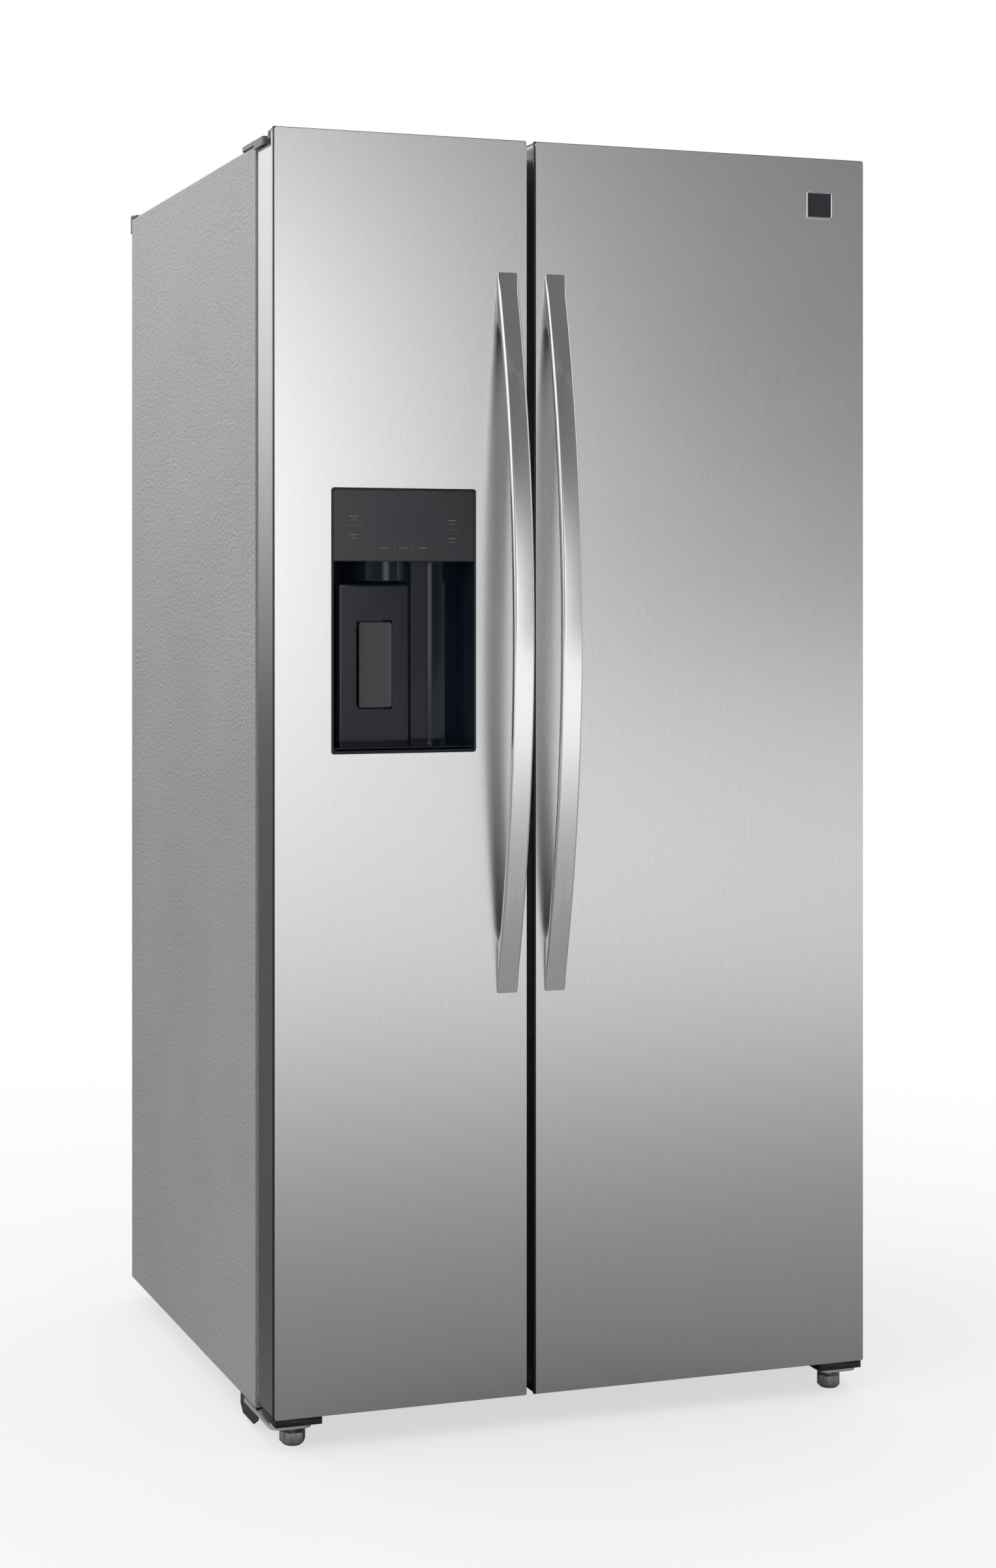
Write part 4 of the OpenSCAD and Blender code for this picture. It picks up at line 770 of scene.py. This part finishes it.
def control_panel(bm):
    lo, hi = PANEL
    plate(bm, [rounded(lo.x, lo.z, hi.x, hi.z, [1 * MM, 1 * MM, 3 * MM, 3 * MM])], lo.y, hi.y,
          0.5 * MM, 3, both=False)


piece("control_glass", control_panel, "freezer_door", GLASS_DARK,
      "dispenser_panel")


def marks(bm):
    """Generic printed bars and separators on the control panel."""
    lo, hi = PANEL
    w, h = hi.x - lo.x, hi.z - lo.z
    y = lo.y - 0.08 * MM

    def bar(u, v, long, tall=1.1 * MM):
        x, z = lo.x + u * w, lo.z + v * h
        plate(bm, [rounded(x - long / 2, z - tall / 2, x + long / 2, z + tall / 2,
                           min(long, tall) * 0.3, 2)], y, lo.y + 0.1 * MM)
    for u, drop in ((0.14, 0), (0.84, 0.05)):
        for v in (0.63, 0.37):
            bar(u, v - drop, 13 * MM)
            bar(u, v - drop - 0.05, 9 * MM, 0.8 * MM)
        bar(u, 0.50 - drop, 24 * MM, 0.35 * MM)
    for u in (0.36, 0.49, 0.63):
        bar(u, 0.18, 12 * MM)
    for u in (0.43, 0.56):
        bar(u, 0.18, 0.35 * MM, 8 * MM)


def display(bm):
    """The darker display window in the control panel."""
    lo, hi = PANEL
    w, h = hi.x - lo.x, hi.z - lo.z
    plate(bm, [rounded(lo.x + 0.22 * w, lo.z + 0.33 * h, lo.x + 0.77 * w, lo.z + 0.75 * h, 1 * MM)],
          lo.y - 0.05 * MM, lo.y + 0.1 * MM)


piece("control_marks", marks, "freezer_door", MARK)
piece("control_display", display, "freezer_door", WINDOW)


def chute(bm):
    """The ice chute: a tube with a rolled lower rim and a funnel inside."""
    lo, hi = CHUTE
    r = (hi.x - lo.x) / 2
    t = 4 * MM
    prof = [(r - 1 * MM, lo.z), (r, lo.z + 1.2 * MM), (r, hi.z - 1 * MM), (r - 1 * MM, hi.z),
            (r - t, hi.z - 1 * MM), (r - t, lo.z + 30 * MM), (r - t - 1.5 * MM, lo.z + 12 * MM),
            (r - t - 0.6 * MM, lo.z + 1.4 * MM), (r - t + 0.8 * MM, lo.z)]
    lathe(bm, ((lo.x + hi.x) / 2, (lo.y + hi.y) / 2, 0), prof, seg=72)


piece("ice_chute", chute, "freezer_door", GLOSS, "dispenser_chute")


def paddle(bm):
    """The paddle: a dished plate with round corners on its hinge pin."""
    lo, hi = PADDLE
    w, y, t = LEVER / 2, lo.y, 4 * MM
    rows = []
    outline = rounded(-w, lo.z, w, hi.z, 4 * MM, 6)
    for k, s in enumerate((1.0, 1.0, 0.97, 0.9, 0.6, 0.25)):
        dish = [0, 0, 0, 0.1, 0.25, 0.3][k] * MM
        yy = [y + t, y + 0.8 * MM, y, y, y, y][k]
        zc = (lo.z + hi.z) / 2
        rows.append([Vector((MID + u * s, yy + dish, zc + (v - zc) * (1 - (1 - s) * 0.55)))
                     for u, v in outline])
    loft(bm, rows)
    pin_y, pin_z = hi.y - 4 * MM, hi.z - 5 * MM
    block(bm, (MID - w + 4 * MM, y + 3.5 * MM, pin_z - 4 * MM), (MID + w - 4 * MM, pin_y + 4 * MM,
                                                                pin_z + 4 * MM), 1 * MM)
    disc(bm, (0, pin_y, pin_z), 2.5 * MM, lo.x, hi.x, "x", 0.4 * MM, 24)


piece("dispenser_lever", paddle, "paddle", SATIN, "dispenser_paddle")


def tray(bm):
    """The drip tray's grille: narrow bars, with a raised lip along its front."""
    lo, hi = BOX["drip_tray"]
    right = recess_outline(1 * MM, FACE_Y + 1 * MM)
    step_x = MID + PILLAR + 0.6 * MM
    outline = [(lo.x, FACE_Y + 1 * MM), (hi.x, FACE_Y + 1 * MM)] + [
        p for p in right if p[1] > FACE_Y + 2 * MM and p[0] > step_x] + [
        (step_x, hi.y), (step_x, PILLAR_Y - 0.6 * MM), (lo.x, PILLAR_Y - 0.6 * MM)]
    slots, n = [], 28
    for i in range(n):
        x = lo.x + 8 * MM + i * 6.8 * MM
        slots.append(rounded(x, FACE_Y + 10 * MM, x + 3.2 * MM, PILLAR_Y - 8 * MM, 1.4 * MM, 3))
    plate(bm, [outline] + slots, lo.z, hi.z - 1 * MM, 0.4 * MM, 2, to=LYING)
    block(bm, (lo.x, FACE_Y + 1 * MM, lo.z), (hi.x, FACE_Y + 5 * MM, hi.z), 0.9 * MM, 3)


piece("drip_grille", tray, "tray", GLOSS, "drip_tray")


# ---- badge ----

def badge_rim(bm):
    lo, hi = BOX["badge"]
    path = rounded(lo.x + 1.2 * MM, lo.z + 1.2 * MM, hi.x - 1.2 * MM, hi.z - 1.2 * MM, 3 * MM)
    ring = [(1.2, 2.0), (1.2, 0.6), (0.7, 0.1), (0, 0), (-0.7, 0.1), (-1.2, 0.6), (-1.2, 2.0)]
    sweep(bm, path, [(o * MM, lo.y + t * MM) for o, t in ring])


def badge_face(bm):
    lo, hi = BOX["badge"]
    plate(bm, [rounded(lo.x + 2 * MM, lo.z + 2 * MM, hi.x - 2 * MM, hi.z - 2 * MM, 2 * MM)],
          lo.y + 0.7 * MM, hi.y, 0.3 * MM, both=False)


piece("badge_frame", badge_rim, "fridge_door", CHROME, "badge")
piece("badge_plate", badge_face, "fridge_door", GLASS_DARK)


# ---- hinges, feet and base ----

def mirrored(build):
    """Builds a shape on the right and again, mirrored, on the left."""
    def both(bm):
        for side in (1, -1):
            part = bmesh.new()
            build(part)
            if side < 0:
                for v in part.verts:
                    v.co.x = -v.co.x
                bmesh.ops.reverse_faces(part, faces=part.faces[:])
            merge(bm, part)
    return both


HINGE = Vector(next(j["pos_m"] for j in frame["joints"] if j["name"] == "fridge_door_hinge"))
COVERS = BOX["hinge_covers"]
CAB_TOP = CAB[1].z


def hinge_cap(bm):
    """The plastic cover of a top hinge: a low lid on the cabinet, a neck and the pin's tower."""
    hx, hy = HINGE.x, HINGE.y
    x1 = COVERS[1].x
    top = CAB_TOP + 6.5 * MM
    y0 = CAB[0].y
    plate(bm, [rounded(hx - 46 * MM, y0 + 1 * MM, x1, y0 + 68 * MM, 7 * MM)], CAB_TOP + 0.1 * MM,
          top, 2.2 * MM, 4, to=LYING)
    plate(bm, [rounded(hx - 36 * MM, hy + 24 * MM, x1, y0 + 10 * MM, 4 * MM)],
          CAB_TOP - 6 * MM, top - 0.4 * MM, 1.6 * MM, 3, to=LYING)
    block(bm, (hx - 34 * MM, hy - 1 * MM, CAB_TOP - 3 * MM), (hx + 4 * MM, hy + 34 * MM,
                                                              top - 0.8 * MM), 2 * MM, 3)
    z1 = DOOR_TOP - 0.4 * MM
    lathe(bm, (hx, hy, 0), [(0, CAB_TOP - 3 * MM), (12 * MM, CAB_TOP - 3 * MM),
                            (12.6 * MM, CAB_TOP - 2.4 * MM), (12.6 * MM, z1 - 3 * MM),
                            (12.2 * MM, z1 - 1.4 * MM), (11 * MM, z1 - 0.3 * MM),
                            (9.4 * MM, z1), (0, z1)], seg=40)
    for k in range(2):
        y = y0 + (22 + 24 * k) * MM
        disc(bm, (hx - 14 * MM, y, 0), 7.4 * MM, top - 0.6 * MM, top + 0.5 * MM, soft=0.4 * MM,
             seg=28)


piece("hinge_caps", mirrored(hinge_cap), "cabinet", COVER, "hinge_covers")
keep("top_hinges", PLATED, 0.5 * MM)


LOW = BOX["bottom_hinges"]
FOOT_BOX = BOX["foot_right"]


def low_hinge(bm):
    """A bottom hinge: a stepped steel arm, its pin with a collar, and the foot's threaded stem."""
    hx, hy = HINGE.x, HINGE.y
    plate_z = 26 * MM
    fx = (FOOT_BOX[0].x + FOOT_BOX[1].x) / 2
    fy = (FOOT_BOX[0].y + FOOT_BOX[1].y) / 2
    x0, x1 = fx - 22 * MM, CAB[1].x + 0.8 * MM
    y0, y1 = FACE_Y + 14 * MM, CAB[0].y + 62 * MM
    arm = rounded(x0, y0, x1, y1, [11 * MM, 14 * MM, 9 * MM, 9 * MM], 8)
    cut_y0, cut_y1, cut_x = hy + 30 * MM, CAB[0].y - 4 * MM, fx - 2 * MM
    outline = [p for p in arm if p[0] > fx or p[1] > cut_y1 or p[1] < cut_y0]
    k = max(i for i, p in enumerate(outline) if p[0] < fx and p[1] > cut_y1)
    curve = []
    for q in range(7):
        a = math.radians(90 * q / 6)
        curve.append((cut_x - 10 * MM + 10 * MM * math.sin(a), cut_y1 - 10 * MM
                      + 10 * MM * math.cos(a)))
    for q in range(7):
        a = math.radians(90 * q / 6)
        curve.append((cut_x - 10 * MM + 10 * MM * math.cos(a), cut_y0 + 10 * MM
                      - 10 * MM * math.sin(a)))
    outline = outline[:k + 1] + [(x0, cut_y1)] + curve + [(x0, cut_y0)] + outline[k + 1:]
    plate(bm, [outline], plate_z, plate_z + 4.5 * MM, 1.6 * MM, 3, to=LYING)
    disc(bm, (hx, hy, 0), 9 * MM, plate_z + 4 * MM, 33 * MM, soft=0.6 * MM, seg=36)
    disc(bm, (hx, hy, 0), 5 * MM, plate_z + 4 * MM, LOW[1].z, soft=1.2 * MM, seg=32)
    disc(bm, (fx, fy, 0), 10 * MM, plate_z - 3 * MM, plate_z + 0.2 * MM, soft=0.7 * MM, seg=6)
    stem = [(0, 4 * MM)]
    z = 4 * MM
    while z < plate_z - 1 * MM:
        stem += [(4.2 * MM, z), (5 * MM, z + 0.5 * MM), (4.2 * MM, z + 1 * MM)]
        z += 1 * MM
    stem += [(0, z)]
    lathe(bm, (fx, fy, 0), stem, seg=24)
    disc(bm, (hx - 24 * MM, CAB[0].y + 30 * MM, 0), 6 * MM, plate_z - 2.2 * MM, plate_z + 0.1 * MM,
         soft=1 * MM, seg=6)


piece("bottom_hinge_arms", mirrored(low_hinge), "cabinet", PLATED, "bottom_hinges",
      angle=28)
keep("base_frame", DARK, 0.5 * MM)
for side in ("left", "right"):
    keep(f"foot_{side}", FOOT, 0.3 * MM, 2, 25)
    keep(f"roller_{side}", BLACK, 0.8 * MM)


def spacer(bm):
    """A rear spacer: a hollow-looking plastic buffer with a lip that hooks over the top."""
    lo, hi = BOX["rear_spacers"]
    x1 = hi.x
    x0 = x1 - 34 * MM
    y0 = CAB[1].y
    block(bm, (x0, y0 + 0.1 * MM, lo.z), (x1, hi.y, hi.z), 2.2 * MM, 3)
    block(bm, (x0, y0 - 26 * MM, CAB_TOP + 0.1 * MM), (x1, y0 + 2 * MM, CAB_TOP + 3 * MM),
          1 * MM, 3)
    for k in range(3):
        x = x0 + (8 + 9 * k) * MM
        block(bm, (x - 1.5 * MM, y0 - 20 * MM, CAB_TOP + 2.6 * MM),
              (x + 1.5 * MM, y0 - 6 * MM, CAB_TOP + 3.7 * MM), 0.4 * MM, 2)


piece("back_spacers", mirrored(spacer), "cabinet", COVER, "rear_spacers")


# ---- tubs: drawers, baskets, bins, bucket and pan ----

def drawer(bm, box):
    """A drawer: a sloping tub, a thick rounded front with a finger pull and a rim behind it."""
    lo, hi = box
    tub(bm, (lo.x, lo.y + 4 * MM, lo.z), (hi.x, hi.y, hi.z - 8 * MM), 2.5 * MM, 14 * MM,
        4 * MM, 4 * MM)
    cx, w = (lo.x + hi.x) / 2, (hi.x - lo.x)
    pull = rounded(cx - w / 2 + 60 * MM, hi.z - 36 * MM, cx + w / 2 - 60 * MM, hi.z - 12 * MM,
                   10 * MM)
    plate(bm, [rounded(lo.x, lo.z, hi.x, hi.z, 9 * MM), pull], lo.y, lo.y + 6 * MM, 1.6 * MM, 3)
    block(bm, (lo.x + 40 * MM, lo.y + 5 * MM, hi.z - 10 * MM), (hi.x - 40 * MM, lo.y + 22 * MM,
                                                               hi.z - 6 * MM), 1.2 * MM, 3)


for name in ("crisper_upper", "crisper_lower", "freezer_basket_upper", "freezer_basket_lower"):
    piece(name + "_tub", lambda bm: drawer(bm, BOX[name]), name, CLEAR, name)


def solids(node):
    """Boxes of a CAD node's separate solids, from the bottom up."""
    me = NODES[node].data
    bm = bmesh.new()
    bm.from_mesh(me)
    bmesh.ops.remove_doubles(bm, verts=bm.verts[:], dist=1e-5)
    seen, out = set(), []
    for v in bm.verts:
        if v in seen:
            continue
        group, stack = [], [v]
        seen.add(v)
        while stack:
            w = stack.pop()
            group.append(w.co.copy())
            for e in w.link_edges:
                o = e.other_vert(w)
                if o not in seen:
                    seen.add(o)
                    stack.append(o)
        out.append((Vector(min(c[i] for c in group) for i in range(3)),
                    Vector(max(c[i] for c in group) for i in range(3))))
    bm.free()
    return sorted(out, key=lambda b: b[0].z)


def door_bins(bm, node):
    for lo, hi in solids(node):
        tub(bm, lo, hi, 2.5 * MM, 12 * MM, 3 * MM, 2.5 * MM)
        block(bm, (lo.x + 1 * MM, lo.y, hi.z - 16 * MM), (hi.x - 1 * MM, lo.y + 3 * MM,
                                                         hi.z - 4 * MM), 1 * MM, 2)


for name in ("freezer", "fridge"):
    node = f"{name}_door_bins"
    piece(f"{name}_bin_row", lambda bm: door_bins(bm, node), f"{name}_door", CLEAR,
          node)


def bucket(bm):
    """The ice bucket with the spout that reaches over the door's chute."""
    lo, hi = BOX["ice_bucket"]
    front = BOX["crisper_lower"][0].y
    tub(bm, (lo.x, front, lo.z), hi, 2.5 * MM, 16 * MM, 3 * MM, 2 * MM)
    x0, x1 = MID - 34 * MM, MID + 34 * MM
    z1, t = lo.z + 62 * MM, 2.5 * MM
    block(bm, (x0, lo.y, lo.z), (x0 + t, front + 6 * MM, z1), 1 * MM, 2)
    block(bm, (x1 - t, lo.y, lo.z), (x1, front + 6 * MM, z1), 1 * MM, 2)
    block(bm, (x0, lo.y, z1 - t), (x1, front + 6 * MM, z1), 1 * MM, 2)
    block(bm, (x0, lo.y, lo.z + 10 * MM), (x1, lo.y + t, z1), 1 * MM, 2)
    block(bm, (x0, lo.y + 26 * MM, lo.z), (x1, front + 6 * MM, lo.z + t), 1 * MM, 2)


piece("ice_bin", bucket, "cabinet", CLEAR, "ice_bucket")
piece("defrost_tray", lambda bm: tub(bm, *BOX["drain_pan"], 2.5 * MM, 12 * MM, 2 * MM),
      "cabinet", WHITE, "drain_pan")


# ---- the other CAD nodes keep their shape ----
for node, mat, r in (
        ("mullion_strip", ZINC, 0.5), ("machine_cover", BLACK, 0.4), ("compressor", MACHINE, 0.0),
        ("compressor_mounts", RUBBER, 0.8), ("condenser_coil", MACHINE, 0.0),
        ("condenser_shroud", WHITE, 0.6), ("water_valve", WHITE, 1.0), ("power_inlet", BLACK, 0.6),
        ("evaporator_coil", ALU, 0.0), ("evaporator_cover", SHELL, 0.5), ("ice_maker", SHELL, 1.5),
        ("auger_motor", PLATED, 1.5), ("shelf_glass", GLASS, 0.8), ("shelf_frames", WHITE, 1.5),
        ("interior_lights", LENS, 2.0), ("water_filter", WHITE, 2.0), ("screws", PLATED, 0.5),
        ("condenser_fan", BLACK, 0.4), ("evaporator_fan", BLACK, 0.4), ("ice_auger", ALU, 0.0),
        ("cabinet_foam", FOAM, 0.0)):
    keep(node, mat, r * MM)


# ---- floor, light and camera ----

def value(nt, op, a, b=None, c=None):
    """A math node on numbers or sockets."""
    node = nt.nodes.new("ShaderNodeMath")
    node.operation = op
    for i, v in enumerate((a, b, c)):
        if v is None:
            continue
        if hasattr(v, "links"):
            nt.links.new(v, node.inputs[i])
        else:
            node.inputs[i].default_value = v
    return node.outputs[0]


def seen_or_lit(nt, seen, lit):
    """One shader for what the viewer sees, another for the light that it gives."""
    path, mix = nt.nodes.new("ShaderNodeLightPath"), nt.nodes.new("ShaderNodeMixShader")
    nt.links.new(path.outputs["Is Camera Ray"], mix.inputs["Fac"])
    nt.links.new(lit, mix.inputs[1])
    nt.links.new(seen, mix.inputs[2])
    return mix.outputs[0]


def fade(nt, start, end, along=None):
    """0 up to a distance from the middle, or along one axis, and 1 from another on, in metres."""
    co = nt.nodes.new("ShaderNodeTexCoord").outputs["Object"]
    if along is None:
        size = nt.nodes.new("ShaderNodeVectorMath")
        size.operation = "LENGTH"
        nt.links.new(co, size.inputs[0])
        far = size.outputs["Value"]
    else:
        axes = nt.nodes.new("ShaderNodeSeparateXYZ")
        nt.links.new(co, axes.inputs[0])
        far = axes.outputs[along]
    mr = nt.nodes.new("ShaderNodeMapRange")
    mr.interpolation_type = "SMOOTHSTEP"
    for k, v in zip(("From Min", "From Max", "To Min", "To Max"), (start, end, 0, 1)):
        mr.inputs[k].default_value = v
    nt.links.new(far, mr.inputs["Value"])
    return mr.outputs["Result"]


def blend(nt, fac, near, far):
    mix = nt.nodes.new("ShaderNodeMixShader")
    nt.links.new(fac, mix.inputs["Fac"])
    nt.links.new(near, mix.inputs[1])
    nt.links.new(far, mix.inputs[2])
    return mix.outputs[0]


def glow_of(nt, strength):
    e = nt.nodes.new("ShaderNodeEmission")
    e.inputs["Strength"].default_value = strength
    return e.outputs[0]


stage_mat, nt, bsdf = nodes_of("floor", (0.9, 0.9, 0.9), 0.7)
nt.links.new(tint(nt, noise(nt, (3,) * 3), (0.89, 0.89, 0.89), (0.91, 0.91, 0.91)),
             bsdf.inputs["Base Color"])
dim, pale = (nt.nodes.new("ShaderNodeBsdfDiffuse") for _ in range(2))
dim.inputs["Color"].default_value = (0.14, 0.14, 0.145, 1)
pale.inputs["Color"].default_value = (0.38, 0.38, 0.39, 1)
half = nt.nodes.new("ShaderNodeValue")
half.outputs[0].default_value = 0.65
near = blend(nt, half.outputs[0], bsdf.outputs[0], glow_of(nt, 1.0))
seen = blend(nt, fade(nt, 0.6, 2.8), near, glow_of(nt, 1.0))
lit = blend(nt, fade(nt, 0.6, -0.9, "Y"), dim.outputs[0], pale.outputs[0])
lit = blend(nt, fade(nt, -0.9, -5.5, "Y"), lit, glow_of(nt, 1.2))
nt.links.new(seen_or_lit(nt, seen, lit), nt.nodes["Material Output"].inputs["Surface"])
floor_mesh = shape(lambda bm: bmesh.ops.create_grid(bm, x_segments=1, y_segments=1, size=30))
floor = bpy.data.objects.new("floor", floor_mesh)
bpy.context.scene.collection.objects.link(floor)
floor.location.z = -0.2 * MM
floor_mesh.materials.append(stage_mat)

# A studio of soft boxes: direction, half sizes to the soft edge across and up, softness, strength
BOXES = (
    ((0.14, -1.0, 0.02), 9, 9, 7, 4.40),       # low in front
    ((-1.0, 0.10, 0.55), 50, 26, 18, 1.70),     # left
    ((-0.30, 1.0, 0.22), 16, 9, 6, 1.50),      # behind on the left
    ((0.9, 0.75, 0.55), 60, 26, 20, 0.95),      # right and behind
    ((0.0, 0.0, 1.0), 30, 30, 20, 1.60),        # above
    ((0.85, -0.53, 0.10), 5, 22, 4, 1.80),      # a strip on the right
)
world = bpy.data.worlds.new("studio")
bpy.context.scene.world = world
world.use_nodes = True
nt = world.node_tree
back, out = nt.nodes["Background"], nt.nodes["World Output"]
back.inputs["Color"].default_value = (1, 1, 1, 1)
back.inputs["Strength"].default_value = 1.0
way = nt.nodes.new("ShaderNodeTexCoord").outputs["Generated"]


def soft_box(direction, wide, tall, soft, strength):
    """Light from a rounded patch of the sky round a direction, angles in degrees."""
    d = Vector(direction).normalized()
    side = Vector((0, 0, 1)).cross(d)
    side = side.normalized() if side.length > 0.1 else Vector((1, 0, 0))
    up = d.cross(side)

    def along(v):
        dot = nt.nodes.new("ShaderNodeVectorMath")
        dot.operation = "DOT_PRODUCT"
        dot.inputs[1].default_value = v
        nt.links.new(way, dot.inputs[0])
        return dot.outputs["Value"]
    ahead = along(d)
    parts = []
    for axis, half in ((side, wide), (up, tall)):
        angle = value(nt, "ARCTAN2", value(nt, "ABSOLUTE", along(axis)), ahead)
        mr = nt.nodes.new("ShaderNodeMapRange")
        mr.interpolation_type = "SMOOTHSTEP"
        for k, v in zip(("From Min", "From Max", "To Min", "To Max"),
                        (math.radians(max(0, half - soft)), math.radians(half + soft), 1, 0)):
            mr.inputs[k].default_value = v
        nt.links.new(angle, mr.inputs["Value"])
        parts.append(mr.outputs["Result"])
    return value(nt, "MULTIPLY", value(nt, "MULTIPLY", *parts), strength)


total = 0.22
for box in BOXES:
    total = value(nt, "ADD", soft_box(*box), total)
glow = nt.nodes.new("ShaderNodeBackground")
nt.links.new(total, glow.inputs["Strength"])
nt.links.new(seen_or_lit(nt, back.outputs[0], glow.outputs[0]), out.inputs["Surface"])
bpy.context.scene.view_settings.view_transform = "Standard"

camera = bpy.data.cameras.new("camera")
camera.lens, camera.sensor_width = 58.46, 36
camera.shift_x, camera.shift_y = 0.1098, -0.1172
eye = bpy.data.objects.new("camera", camera)
bpy.context.scene.collection.objects.link(eye)
eye.location = (-1.441, -3.6586, 1.149)
eye.rotation_euler = (math.radians(90), 0, math.radians(-18.02))
bpy.context.scene.camera = eye

bpy.context.view_layer.update()
